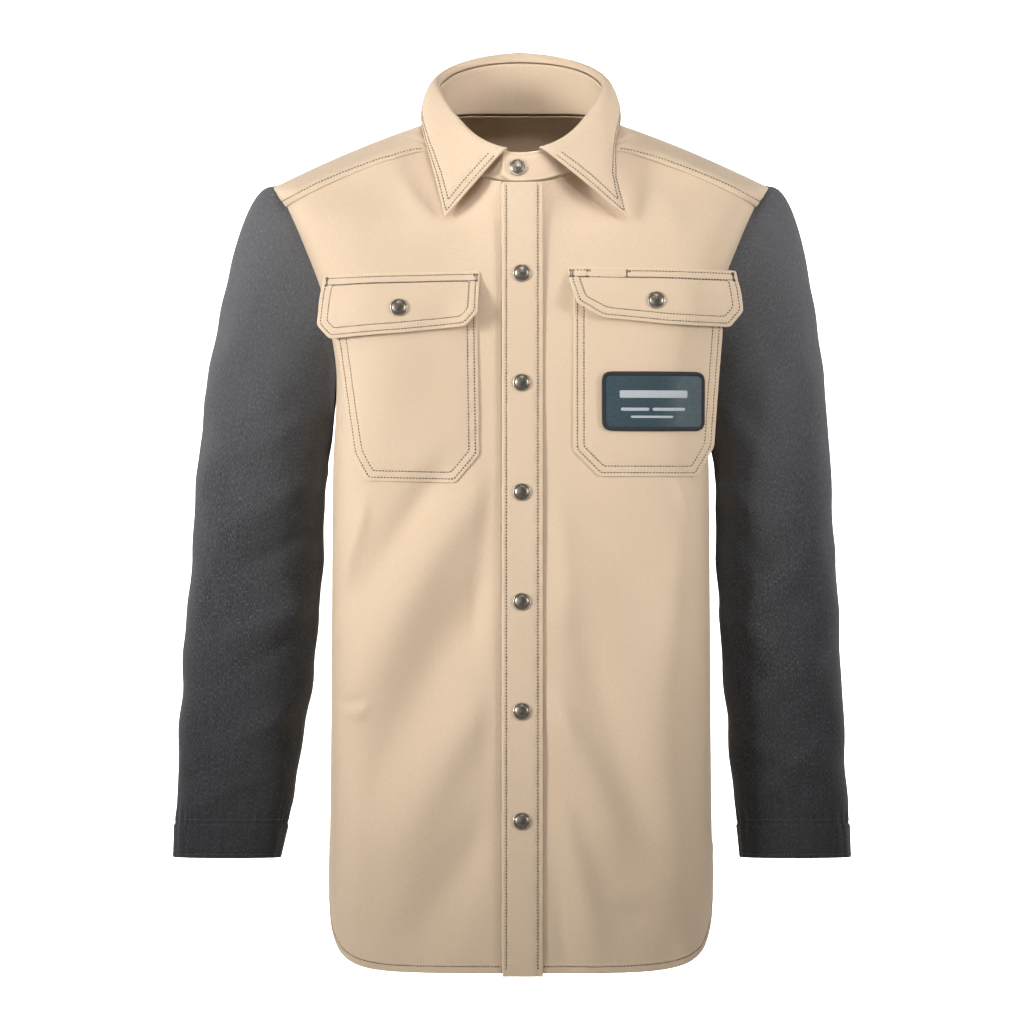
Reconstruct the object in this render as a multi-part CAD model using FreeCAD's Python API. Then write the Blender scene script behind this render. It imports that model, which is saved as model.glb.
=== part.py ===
"""Snap-front welding work shirt: duck-cotton body, denim sleeves, double yoke, stand collar, two flap pockets.

Units are millimetres. +X is the wearer's left, -Y is the front, +Z is up. Heights (h) in this script are measured
from the lowest point of the hem, and every finished piece is shifted down so that the origin is at the rest for
the hanger, in the middle of the neck between the two shoulder ridges.
"""

import FreeCAD, Part
import math
import os

from FreeCAD import Vector

# ---- driving dimensions -------------------------------------------------------------------------------------
cloth = 1.6             # modelled thickness of one layer of cloth with its seam allowances
layer_gap = 0.4         # air between two layers that lie on each other
neck_height = 795.0     # height of the shoulder ridge at the neck, where the origin goes
front_top = 738.0       # neckline at the centre front
hem_front_y = -121.0    # centre front line at the hem
neck_front_y = -92.0    # centre front line at the neckline
back_seam_height = 700.0    # seam between back panel and yoke
underarm_height = 465.0
squareness = 0.075      # how boxy the torso's cross-section is

placket_free_x = -17.4  # free edge of the snap placket
placket_sewn_x = 20.3   # its sewn edge, where it folds open
placket_rise = 4.4      # how far the placket's middle stands off the torso surface, over the snaps
snap_count = 6
snap_top = 653.0        # height of the top placket snap
snap_pitch = 101.8
snap_x = 0.7

cap_radius = 8.2
cap_height = 3.0
socket_radius = 5.6
socket_height = 2.0
stud_base_radius = 5.2
stud_base_height = 0.5
stud_knob_radius = 1.9
stud_neck_radius = 1.5
post_radius = 5.0
post_height = 0.6
barrel_radius = 1.2

collar_rise = 5.2       # how far the stand's outer end stands off its inner end, over the collar snap
bore_clearance = 0.5    # between a stud's knob and the socket round it
patch_size = (93.0, 55.0)
patch_corner = 7.5
patch_border = 3.6

elbow_height = 335.0
elbow_half = 50.0       # half the length of cloth that creases at the elbow
swing_start = (183.0, 455.0)    # x and height where the cloth starts to crease as the sleeve swings out
swing_lean = math.radians(30)   # how far that crease's plane leans, up towards the outside
swing_length = 46.0             # length of cloth that creases there
cuff_height = 107.0
cuff_band = 31.0        # depth of the band at the sleeve's end
shoulder_tip = (232.0, 3.0, 735.0)

parts_folder = "parts"


# ---- smooth profiles ----------------------------------------------------------------------------------------
def profile(*knots):
    """A smooth function through (position, value) knots that adds no peaks of its own, straight beyond its ends."""
    xs = [k[0] for k in knots]
    ys = [k[1] for k in knots]
    steps = [(ys[i + 1] - ys[i]) / (xs[i + 1] - xs[i]) for i in range(len(xs) - 1)]
    inner = [2 * a * b / (a + b) if a * b > 0 else 0.0 for a, b in zip(steps, steps[1:])]
    slopes = [steps[0]] + inner + [steps[-1]]

    def value(x):
        if x <= xs[0]:
            return ys[0] + slopes[0] * (x - xs[0])
        if x >= xs[-1]:
            return ys[-1] + slopes[-1] * (x - xs[-1])
        i = max(k for k in range(len(xs) - 1) if xs[k] <= x)
        width = xs[i + 1] - xs[i]
        t = (x - xs[i]) / width
        return ((1 + 2 * t) * (1 - t) ** 2 * ys[i] + t * (1 - t) ** 2 * width * slopes[i]
                + t * t * (3 - 2 * t) * ys[i + 1] + t * t * (t - 1) * width * slopes[i + 1])

    return value


def mix(a, b, t):
    return a + (b - a) * t


# ---- the torso surface --------------------------------------------------------------------------------------
edge_x = profile((0, 181), (200, 178), (underarm_height, 176), (554, 172), (629, 184), (684, 204), (720, 220),
                 (770, 246))
front_edge_y = profile((0, -14), (underarm_height - 40, -14), (540, -36), (620, -44), (690, -34), (720, -25),
                       (770, 0))
back_edge_y = profile((0, -14), (underarm_height - 40, -14), (540, 22), (620, 38), (700, 38))
back_depth = profile((0, 100), (200, 92), (400, 96), (600, 116), (700, 112))
chest_bulge = profile((0, 0), (250, 2), (430, 8), (590, 16), (690, 10), (770, 0))


shoulder_lean = profile((620, 0), (690, 6), (738, 30), (770, 40))


def centre_y(h):
    """The centre front line, which is straight so that the placket folds open along it."""
    return mix(hem_front_y, neck_front_y, h / front_top)


def smooth(value):
    value = min(1.0, max(0.0, value))
    return value * value * (3 - 2 * value)


def round_x(angle):
    return (math.sin(angle) + squareness * math.sin(3 * angle)) / (1 - squareness)


def round_y(angle):
    return (math.cos(angle) - squareness * math.cos(3 * angle)) / (1 - squareness)


def front_point(angle, h):
    """Front of the torso on the wearer's left: angle 0 is the centre front, a quarter turn the side seam."""
    x = edge_x(h) * round_x(angle)
    edge = front_edge_y(h)
    middle = centre_y(h) + (shoulder_lean(h) * smooth((x - 10) / 65) if h > 620 else 0)
    y = edge + (middle - edge) * round_y(angle) - chest_bulge(h) * math.sin(2 * angle) ** 2
    return Vector(x, y, h)


def back_point(angle, h):
    edge = back_edge_y(h)
    return Vector(edge_x(h) * round_x(angle), edge + (back_depth(h) - edge) * round_y(angle), h)


def angle_at(x, h):
    """The angle at which the front surface reaches x at height h."""
    low, high = 0.0, math.pi / 2
    for _ in range(40):
        middle = (low + high) / 2
        if edge_x(h) * round_x(middle) < x:
            low = middle
        else:
            high = middle
    return low


def on_front(x, h):
    """Point of the front surface at x and h, for x of either sign. Beyond the chest it runs on straight."""
    limit = 0.87 * edge_x(h)
    y = front_point(angle_at(min(abs(x), limit), h), h).y
    if abs(x) > limit:
        y += (abs(x) - limit) * (y - front_point(angle_at(limit - 1, h), h).y)
    return Vector(x, y, h)


# ---- building cloth from a surface --------------------------------------------------------------------------
def surface_normal(surface, s, t):
    step = 1e-3
    s0, s1 = max(0.0, s - step), min(1.0, s + step)
    t0, t1 = max(0.0, t - step), min(1.0, t + step)
    return (surface(s1, t) - surface(s0, t)).cross(surface(s, t1) - surface(s, t0)).normalize()


def fitted_face(surface, offset, count_s, count_t):
    grid = []
    for i in range(count_s):
        s = i / (count_s - 1)
        row = []
        for j in range(count_t):
            t = j / (count_t - 1)
            shift = offset(s, t) if callable(offset) else offset
            row.append(surface(s, t) + surface_normal(surface, s, t) * shift)
        grid.append(row)
    fitted = Part.BSplineSurface()
    fitted.interpolate(grid)
    return fitted.toShape()


def cloth_solid(surface, count_s=14, count_t=14, offset=0.0, thickness=cloth):
    """A closed sheet of cloth: two fitted faces half a thickness either side of the surface, and its four edges."""
    def moved(by):
        return (lambda s, t: offset(s, t) + by) if callable(offset) else offset + by

    outer = fitted_face(surface, moved(thickness / 2), count_s, count_t)
    inner = fitted_face(surface, moved(-thickness / 2), count_s, count_t)
    rims = [Part.makeRuledSurface(a, b) for a, b in zip(outer.Edges, inner.Edges)]
    shell = Part.makeShell([outer, inner] + rims)
    shell.sewShape()
    solid = Part.makeSolid(shell if shell.ShapeType == "Shell" else shell.Shells[0])
    if solid.Volume < 0:
        solid.reverse()
    return solid


def mirrored(shape):
    return shape.mirror(Vector(0, 0, 0), Vector(1, 0, 0))


finished = {}


def finish(name, *solids):
    """Shifts a node's solids so that the origin is at the hanger rest, and writes them."""
    moved = [s.copy() for s in solids]
    for solid in moved:
        solid.translate(Vector(0, 0, -neck_height))
    shape = moved[0] if len(moved) == 1 else Part.makeCompound(moved)
    shape.exportStep(os.path.join(parts_folder, name + ".step"))
    finished[name] = shape
    volume = sum(s.Volume for s in shape.Solids)
    print(f"{name}: {len(shape.Solids)} solids, {volume / 1000:.2f} cm3, valid {shape.isValid()}")


# ---- torso panels -------------------------------------------------------------------------------------------
front_neckline = profile((0, front_top), (25, 741), (55, 754), (72, 767.5), (88, 767.5), (120, 760), (170, 741), (220, 717))


def front_hem(share):
    return 3.0 + 112.0 * share ** 4


def back_hem(share):
    return 2.0 + 113.0 * share ** 4


last_angle = math.pi / 2 * 0.998    # just short of the side seam


def front_panel(centre_x):
    """Front from the placket edge to the side seam and armhole, and from the hem to the neckline and yoke seam."""
    def surface(s, t):
        def angle(h):
            return mix(angle_at(centre_x, h), last_angle, s)

        top = front_top
        for _ in range(12):
            top = front_neckline(edge_x(top) * round_x(angle(top))) - 1.2
        h = mix(front_hem(s), top, t)
        return front_point(angle(h), h)

    return surface


def back_panel(s, t):
    angle = mix(-last_angle, last_angle, s)
    h = mix(back_hem(abs(2 * s - 1)), back_seam_height - 0.6, t)
    point = back_point(abs(angle), h)
    return Vector(math.copysign(point.x, angle), point.y, h)


# ---- yoke ---------------------------------------------------------------------------------------------------
neck_half_width = 82.0
neck_centre_y = -20.0
neck_half_depth = 70.0
neck_turn = math.radians(62)        # where the neckline meets the front yoke seam
ridge_turn = math.radians(104)      # where it meets the shoulder ridge
neck_share = 0.44                   # share of the yoke's half width that ends in the neckline
ridge_from = neck_share * (math.pi - ridge_turn) / (math.pi - neck_turn)


def neckline(turn):
    """The loop where the collar is sewn on. Turn is measured from the front, and is pi at the back."""
    return Vector(neck_half_width * math.sin(turn), neck_centre_y - neck_half_depth * math.cos(turn),
                  front_top + 70 * ring_share(turn, 2))


def ring_share(turn, power):
    return 1 - ((1 + math.cos(turn)) / 2) ** power


def yoke_start(reach):
    """The yoke's front edge: round the neckline, then along the front seam out to the armhole."""
    if reach < neck_share:
        start = neckline(mix(math.pi, neck_turn, reach / neck_share))
        return start + Vector(start.x, start.y - neck_centre_y, 0).normalize() * 1.9
    first = neckline(neck_turn).x + 1.5
    x = mix(first, edge_x(718) - 0.5, (reach - neck_share) / (1 - neck_share))
    h = front_neckline(x) + 0.9
    return front_point(min(angle_at(x, h), last_angle), h)


def yoke_ridge(reach):
    along = (reach - ridge_from) / (1 - ridge_from)
    neck = yoke_start(ridge_from)
    bow = 3 * math.sin(math.pi * along)
    return Vector(mix(neck.x, shoulder_tip[0], along), mix(neck.y, shoulder_tip[1], along),
                  mix(neck.z, shoulder_tip[2], along) + bow)


def yoke(s, t):
    """From the right armhole (s 0) to the left one (s 1), and from the front edge over the shoulder to the back."""
    across = 2 * s - 1
    reach = abs(across)
    back = back_point(last_angle * reach, back_seam_height + 0.9)
    start = yoke_start(reach)
    ridge, fore = start, 0.0
    if reach > ridge_from:
        ridge = yoke_ridge(reach)
        fore = 0.33 * smooth((reach - ridge_from) / (neck_share - ridge_from))
    quarter = math.pi / 2
    if t < fore:
        turn = t / fore * quarter
        point = Vector(mix(start.x, ridge.x, math.sin(turn)), mix(ridge.y, start.y, math.cos(turn)),
                       mix(start.z, ridge.z, math.sin(turn)))
    else:
        turn = (t - fore) / (1 - fore) * quarter
        point = Vector(mix(ridge.x, back.x, 1 - math.cos(turn)), mix(ridge.y, back.y, math.sin(turn)),
                       mix(back.z, ridge.z, math.cos(turn)))
    return Vector(math.copysign(point.x, across), point.y, point.z)


yoke_lining_offset = -2.6


def yoke_lining(s, t):
    """The inner yoke follows the outer one, a little smaller so that it stays inside."""
    return yoke(mix(0.03, 0.97, s), mix(0.03, 0.97, t))


# ---- collar -------------------------------------------------------------------------------------------------
stand_under_end = 0.20      # the wearer's right end of the stand, under the left one, as a turn from the front
stand_over_end = -2 * math.pi - 0.21
leaf_start = -0.15          # front ends of the turned-down leaf
leaf_end = -2 * math.pi + 0.2


def stand_top(turn, above=0.0):
    return Vector(76 * math.sin(turn), neck_centre_y - 65 * math.cos(turn), 766 + 84 * ring_share(turn, 2.2) + above)


def stand(s, t):
    turn = mix(stand_under_end, stand_over_end, s)
    lift = smooth((s - 0.86) / 0.1)
    low = neckline(turn) + Vector(0, 0, 1.3 + 2 * lift)
    out = Vector(math.sin(turn), -math.cos(turn), 0)
    return low * (1 - t) + stand_top(turn) * t + out * collar_rise * lift


collar_tips = {1: (99.5, 705), -1: (71, 705)}
leaf_edge_x = {1: profile((0.16, 90), (0.32, 88), (0.47, 93), (0.6, 92), (0.78, 62), (1, 0)),
               -1: profile((0.16, 79), (0.32, 87), (0.47, 93), (0.6, 92), (0.78, 62), (1, 0))}
leaf_edge_y = profile((0.16, -82), (0.32, -66), (0.47, -30), (0.6, 8), (0.78, 52), (1, 72))
leaf_edge_h = profile((0.16, 740), (0.32, 770), (0.47, 799), (0.6, 814), (0.78, 816), (1, 814))
leaf_outer_offset = 0.85
leaf_rise = profile((0, 3), (0.3, 8), (0.6, 12), (1, 17))


def leaf(s, t):
    """The turned-down collar, from its seam on the stand (t 0), over the fold and down to its outer edge."""
    turn = mix(leaf_start, leaf_end, s)
    side = -1 if s < 0.5 else 1
    share = 1 - abs(2 * s - 1)
    front = max(0.0, 1 - share / 0.25)
    out = Vector(math.sin(turn), -math.cos(turn), 0)
    seam = stand_top(turn, 2.0) + out * (1.6 + 8.0 * smooth(front))
    if share < 0.16:
        tip = on_front(*collar_tips[side])
        along = share / 0.16
        edge = Vector(mix(tip.x, leaf_edge_x[side](0.16), along), mix(tip.y - 8, leaf_edge_y(0.16), along),
                      mix(tip.z, leaf_edge_h(0.16), along))
    else:
        edge = Vector(leaf_edge_x[side](share), leaf_edge_y(share), leaf_edge_h(share))
    edge.x *= side
    up = Vector(0, 0, leaf_rise(share))
    width = mix(11, 6, front)
    return (seam * (1 - t) ** 3 + (seam + up) * (3 * t * (1 - t) ** 2) + (seam + up + out * width) * (3 * t * t * (1 - t))
            + edge * t ** 3)


# ---- pieces cut to an outline on the torso surface ----------------------------------------------------------
def prism(outline):
    """A block through the front of the body whose front view is the outline of (x, h) corners."""
    corners = [Vector(x, -260, h) for x, h in outline]
    return Part.Face(Part.makePolygon(corners + corners[:1])).extrude(Vector(0, 260, 0))


def cut_piece(outline, offset, thickness=cloth):
    """Cloth lying on the wearer's left front, cut to an outline. The offset is from the torso surface."""
    xs = [p[0] for p in outline]
    hs = [p[1] for p in outline]
    low_x, high_x, low_h, high_h = min(xs) - 2, max(xs) + 2, min(hs) - 2, max(hs) + 2

    def surface(s, t):
        return on_front(mix(low_x, high_x, s), mix(low_h, high_h, t))

    sheet = cloth_solid(surface, 30, 12, offset, thickness)
    return sheet.common(prism(outline)).Solids


def cut_for(side, outline, offset, thickness=cloth):
    pieces = cut_piece(outline, offset, thickness)
    return pieces if side > 0 else [mirrored(p) for p in pieces]


# corners as (x, h) on the wearer's left; the right side is stated with x towards that side
pocket_outlines = {
    1: [(49, 638), (49, 488), (73, 464), (163, 464), (179, 492), (187, 598), (187, 638)],
    -1: [(41, 632), (39, 484), (61, 458), (143, 460), (156, 485), (172, 596), (172, 632)],
}
flap_outlines = {
    1: [(43, 659), (45, 646), (53, 624), (77, 611), (137, 605), (190, 604), (203, 619), (200, 656)],
    -1: [(38, 655), (41, 616), (53, 603), (112, 597), (173, 593), (186, 606), (183, 651)],
}
flap_snaps = {1: (125.7, 626.5), -1: (114.0, 620.0)}
pocket_offset = 2.8     # its back clears the stud's flange
flap_close_offset = pocket_offset + cloth + layer_gap
flap_rise = 2.7

patch_centre = (122.0, 534.0)


def flap_offset(side):
    outline = flap_outlines[side]
    top = max(h for _, h in outline)

    def offset(s, t):
        drop = (1 - t) * (top - min(h for _, h in outline))
        ramp = min(1.0, drop / 26)
        return flap_close_offset + flap_rise * ramp * ramp * (3 - 2 * ramp)

    return offset


def rounded_rectangle(centre, size, radius, depth):
    """A prism with arc corners, for the patch and its border."""
    (cx, ch), (w, h) = centre, size
    x0, x1, h0, h1 = cx - w / 2, cx + w / 2, ch - h / 2, ch + h / 2
    cos45 = radius * (1 - math.sqrt(0.5))
    y = -260

    def arc(a, b, c):
        return Part.Arc(Vector(a[0], y, a[1]), Vector(b[0], y, b[1]), Vector(c[0], y, c[1])).toShape()

    def line(a, b):
        return Part.LineSegment(Vector(a[0], y, a[1]), Vector(b[0], y, b[1])).toShape()

    edges = [
        line((x0 + radius, h0), (x1 - radius, h0)),
        arc((x1 - radius, h0), (x1 - cos45, h0 + cos45), (x1, h0 + radius)),
        line((x1, h0 + radius), (x1, h1 - radius)),
        arc((x1, h1 - radius), (x1 - cos45, h1 - cos45), (x1 - radius, h1)),
        line((x1 - radius, h1), (x0 + radius, h1)),
        arc((x0 + radius, h1), (x0 + cos45, h1 - cos45), (x0, h1 - radius)),
        line((x0, h1 - radius), (x0, h0 + radius)),
        arc((x0, h0 + radius), (x0 + cos45, h0 + cos45), (x0 + radius, h0)),
    ]
    return Part.Face(Part.Wire(edges)).extrude(Vector(0, depth, 0))


def patch_parts():
    """The woven ground of the patch, and the thicker merrowed border round it."""
    half_w, half_h = patch_size[0] / 2 + 2, patch_size[1] / 2 + 2
    cx, ch = patch_centre

    def surface(s, t):
        return on_front(cx + mix(-half_w, half_w, s), ch + mix(-half_h, half_h, t))

    base = pocket_offset + cloth / 2 + layer_gap
    outer = rounded_rectangle(patch_centre, patch_size, patch_corner, 260)
    inner_size = (patch_size[0] - 2 * patch_border, patch_size[1] - 2 * patch_border)
    inner = rounded_rectangle(patch_centre, inner_size, patch_corner - patch_border, 260)
    ground_gap = 0.1
    ground_size = (inner_size[0] - 2 * ground_gap, inner_size[1] - 2 * ground_gap)
    ground_cut = rounded_rectangle(patch_centre, ground_size, patch_corner - patch_border, 260)
    ground = cloth_solid(surface, 22, 8, base + 0.6, 1.2).common(ground_cut)
    border = cloth_solid(surface, 22, 8, base + 1.1, 2.2).common(outer).cut(inner)
    return ground.Solids, border.Solids


# ---- snap fasteners -----------------------------------------------------------------------------------------
def turned(*corners):
    """A solid of revolution about Z from (radius, height) corners; a three-number corner is an arc's middle."""
    edges = []
    points = [Vector(c[0], 0, c[1]) for c in corners]
    i = 0
    while i < len(points):
        here = points[i]
        ahead = points[(i + 1) % len(points)]
        if len(corners[(i + 1) % len(points)]) == 3:
            end = points[(i + 2) % len(points)]
            edges.append(Part.Arc(here, ahead, end).toShape())
            i += 2
        else:
            edges.append(Part.LineSegment(here, ahead).toShape())
            i += 1
    return Part.Face(Part.Wire(edges)).revolve(Vector(0, 0, 0), Vector(0, 0, 1), 360)


def snap_cap():
    """Domed cap with a rolled rim; its underside is at height 0."""
    rim = cap_radius - 0.9
    return turned((0, 0), (cap_radius - 0.6, 0), (cap_radius, 0.75, 0), (cap_radius - 0.5, 1.6), (rim, 1.9),
                  (rim * 0.55, cap_height - 0.45, 0), (0.8, cap_height), (0, cap_height))


def snap_socket():
    """Ring with a mouth for the stud; its back is at height 0 and its mouth at minus its own height."""
    bore = stud_knob_radius + bore_clearance
    return turned((bore, 0), (socket_radius, 0), (socket_radius, -socket_height + 0.5),
                  (socket_radius - 0.5, -socket_height), (bore, -socket_height))


def snap_stud():
    """Flange with a headed knob that stands up into the socket; its back is at height 0."""
    top = stud_base_height + socket_height - 0.3
    return turned((0, 0), (stud_base_radius, 0), (stud_base_radius, stud_base_height),
                  (stud_neck_radius, stud_base_height), (stud_neck_radius, top - 1.0),
                  (stud_knob_radius, top - 0.55, 0), (stud_neck_radius, top), (0, top))


def snap_post():
    """The back flange that rivets through the cloth to the stud; its face towards the cloth is at height 0."""
    return turned((0, -post_height), (post_radius - 0.4, -post_height), (post_radius, -post_height / 2, 0),
                  (post_radius - 0.4, 0), (0, 0))


def placed(solid, base, normal, distance):
    """The solid with its Z axis along the normal, and its origin at a distance along it from the base point."""
    moved = solid.copy()
    turn = FreeCAD.Rotation(Vector(0, 0, 1), normal)
    moved.Placement = FreeCAD.Placement(base + normal * distance, turn)
    return moved


def snap_stack(base, normal, under, over, ply=cloth, clearance=0.05, cap_gap=0.0, stud_gap=0.0, post_gap=0.0):
    """Cap, socket, stud and post of a closed snap. Under and over are the offsets of the two layers' surfaces, and
    the gaps are extra room beside a layer that curves."""
    reach = ply / 2 + clearance
    return {
        "cap": placed(snap_cap(), base, normal, over + reach),
        "socket": placed(snap_socket(), base, normal, over - reach - cap_gap),
        "stud": placed(snap_stud(), base, normal, under + reach + stud_gap),
        "post": placed(snap_post(), base, normal, under - reach - post_gap),
    }


# ---- sleeves ------------------------------------------------------------------------------------------------
armhole_stops = (0, 0.08, 0.18, 0.28, 0.38, 0.45, 0.5, 0.55, 0.62, 0.72, 0.82, 0.92, 1)
armhole_points = ((183, -14, 462), (181, -25, 490), (177, -40, 560), (188.5, -47, 630), (208.5, -38, 690),
                  (224.5, -20, 722), (236.5, 3, 737), (228, 22, 728), (214.5, 40, 697), (188.5, 44, 630),
                  (177, 33, 560), (181, 7, 490), (183, -14, 462))
armhole = [profile(*[(u, p[k]) for u, p in zip(armhole_stops, armhole_points)]) for k in range(3)]

sleeve_outer = {-1: profile((107, 325), (138, 324), (275, 318), (405, 308.5), (452, 307)),
                1: profile((107, 308), (138, 307), (275, 301), (405, 294), (452, 291))}
sleeve_inner = {-1: profile((107, 227), (138, 220), (201, 208), (275, 196), (350, 189), (405, 185)),
                1: profile((107, 207), (138, 204), (201, 197), (275, 191), (350, 186), (405, 183))}
sleeve_depth = profile((107, 30), (200, 38), (300, 46), (400, 53))
sleeve_forward = profile((107, -26), (250, -14), (400, -6))
upper_end = elbow_height + elbow_half
lower_start = elbow_height - elbow_half


def sleeve_ring(side, u, h):
    turn = 2 * math.pi * u
    outer, inner = sleeve_outer[side](h), sleeve_inner[side](h)
    return Vector((outer + inner) / 2 - (outer - inner) / 2 * math.cos(turn),
                  sleeve_forward(h) - sleeve_depth(h) * math.sin(turn), h)


seam_slit = 0.002       # the underarm seam, as a share of the way round


def sleeve_curve(side, u, v):
    """From the armhole (v 0) to the start of the elbow (v 1), a curve for each point round the sleeve."""
    start = Vector(*[coordinate(u) for coordinate in armhole])
    end = sleeve_ring(side, u, upper_end)
    top = math.sin(math.pi * u) ** 2
    leave = Vector(mix(14, 118, top), 0, mix(-60, -18, top))
    arrive = Vector(mix(2, 12, top), 0, mix(-70, -330, top))
    return (start * ((1 + 2 * v) * (1 - v) ** 2) + leave * (v * (1 - v) ** 2)
            + end * (v * v * (3 - 2 * v)) + arrive * (v * v * (v - 1)))


def past_crease(point):
    """How far a point is past the plane where the cloth starts to crease."""
    return ((point.x - swing_start[0]) * math.sin(swing_lean)
            - (point.z - swing_start[1]) * math.cos(swing_lean))


def cut_share(side, u, distance):
    low, high = 0.0, 1.0
    for _ in range(30):
        middle = (low + high) / 2
        if past_crease(sleeve_curve(side, u, middle)) < distance:
            low = middle
        else:
            high = middle
    return low


def sleeve_between(side, first, last):
    """The part of the upper sleeve between two distances past the crease's start; None is the sleeve's own end."""
    shares = {}

    def surface(s, t):
        u = mix(seam_slit, 1 - seam_slit, s)
        if u not in shares:
            shares[u] = (0.0 if first is None else cut_share(side, u, first),
                         1.0 if last is None else cut_share(side, u, last))
        top, bottom = shares[u]
        return sleeve_curve(side, u, mix(bottom, top, t))

    return surface


def sleeve_tube(side, low, high, grow=0.0):
    def surface(s, t):
        u = mix(seam_slit, 1 - seam_slit, s)
        return sleeve_ring(side, u, mix(low, high, t))

    return surface


def sleeve_parts(side):
    gap = 0.3
    pieces = {
        "sleeve_head": cloth_solid(sleeve_between(side, None, -gap), 33, 12),
        "shoulder_section": cloth_solid(sleeve_between(side, gap, swing_length - gap), 33, 6),
        "upper_sleeve": cloth_solid(sleeve_between(side, swing_length + gap, None), 33, 8),
        "elbow_section": cloth_solid(sleeve_tube(side, lower_start + gap, upper_end - gap), 25, 6),
        "lower_sleeve": cloth_solid(sleeve_tube(side, cuff_height + cuff_band + gap, lower_start - gap), 25, 8),
        "cuff_band": cloth_solid(sleeve_tube(side, cuff_height, cuff_height + cuff_band), 25, 5, 0.0, 2.4),
    }
    return pieces if side > 0 else {name: mirrored(p) for name, p in pieces.items()}


# ---- assembly -----------------------------------------------------------------------------------------------
side_names = {1: "left", -1: "right"}


def placket_offset(s, t):
    x = mix(placket_free_x, placket_sewn_x, s)
    ramp = min(1.0, (placket_sewn_x - x) / 11)
    return mix(3.0, placket_rise, ramp * ramp * (3 - 2 * ramp))


def flat_strip(low_x, high_x, low_h, high_h):
    return lambda s, t: Vector(mix(low_x, high_x, s), centre_y(mix(low_h, high_h, t)), mix(low_h, high_h, t))


def build_torso():
    finish("left_front_panel", cloth_solid(front_panel(13.2), 22, 44))
    finish("right_front_panel", mirrored(cloth_solid(front_panel(19.0), 22, 44)))
    finish("back_panel", cloth_solid(back_panel, 35, 36))
    finish("yoke", cloth_solid(yoke, 61, 25))
    finish("yoke_lining", cloth_solid(yoke_lining, 61, 25, yoke_lining_offset, 1.0))
    finish("under_placket", cloth_solid(flat_strip(-18.4, 12.6, 3.0, front_top - 1.5), 4, 10))
    finish("collar_stand", cloth_solid(stand, 61, 5, 0.0, 2.0))
    finish("collar_leaf", cloth_solid(leaf, 61, 14, leaf_outer_offset, 1.2))
    finish("under_collar", cloth_solid(leaf, 61, 14, -leaf_outer_offset, 1.0))


def build_front_snaps():
    stacks = []
    tilt = Vector(0, centre_y(1) - centre_y(0), 1).normalize()
    normal = Vector(1, 0, 0).cross(tilt).normalize()
    for i in range(snap_count):
        h = snap_top - snap_pitch * i
        stacks.append(snap_stack(Vector(snap_x, centre_y(h), h), normal, 0.0, placket_rise))
    finish("front_placket", cloth_solid(flat_strip(placket_free_x, placket_sewn_x, 0.0, front_top - 5.0), 14, 10,
                                        placket_offset))
    finish("placket_caps", *[s["cap"] for s in stacks])
    finish("placket_sockets", *[s["socket"] for s in stacks])
    finish("placket_studs", *[s["stud"] for s in stacks])
    finish("placket_posts", *[s["post"] for s in stacks])


def build_pockets():
    for side, name in side_names.items():
        finish(f"{name}_pocket", *cut_for(side, pocket_outlines[side], pocket_offset))
        finish(f"{name}_pocket_flap", *cut_for(side, flap_outlines[side], flap_offset(side)))
        x, h = flap_snaps[side]
        base = on_front(x, h)
        normal = (on_front(x + 1, h) - on_front(x - 1, h)).cross(on_front(x, h + 1) - on_front(x, h - 1)).normalize()
        over = flap_close_offset + flap_rise
        for part, solid in snap_stack(base, normal, pocket_offset, over, cap_gap=0.18, stud_gap=0.2,
                                      post_gap=0.2).items():
            finish(f"{name}_flap_{part}" if part in ("cap", "socket") else f"{name}_pocket_{part}",
                   solid if side > 0 else mirrored(solid))
    ground, border = patch_parts()
    finish("patch_ground", *ground)
    finish("patch_border", *border)


def build_collar_snap():
    turn = -2 * math.pi - 0.04
    s = (turn - stand_under_end) / (stand_over_end - stand_under_end)
    lift = Vector(math.sin(turn), -math.cos(turn), 0) * collar_rise
    normal = surface_normal(stand, s, 0.47) * -1
    for part, solid in snap_stack(stand(s, 0.47) - lift, normal, 0.0, lift.dot(normal), 2.0, 0.25,
                                  post_gap=0.15).items():
        finish(f"collar_snap_{part}", solid)


def build_sleeves():
    for side, name in side_names.items():
        for part, solid in sleeve_parts(side).items():
            finish(f"{name}_{part}", solid)


os.makedirs(parts_folder, exist_ok=True)
build_torso()
build_front_snaps()
build_pockets()
build_collar_snap()
build_sleeves()
print(len(finished), "nodes")
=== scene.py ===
import bpy
import math
import numpy as np
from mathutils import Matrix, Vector
from mathutils.geometry import delaunay_2d_cdt


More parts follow.
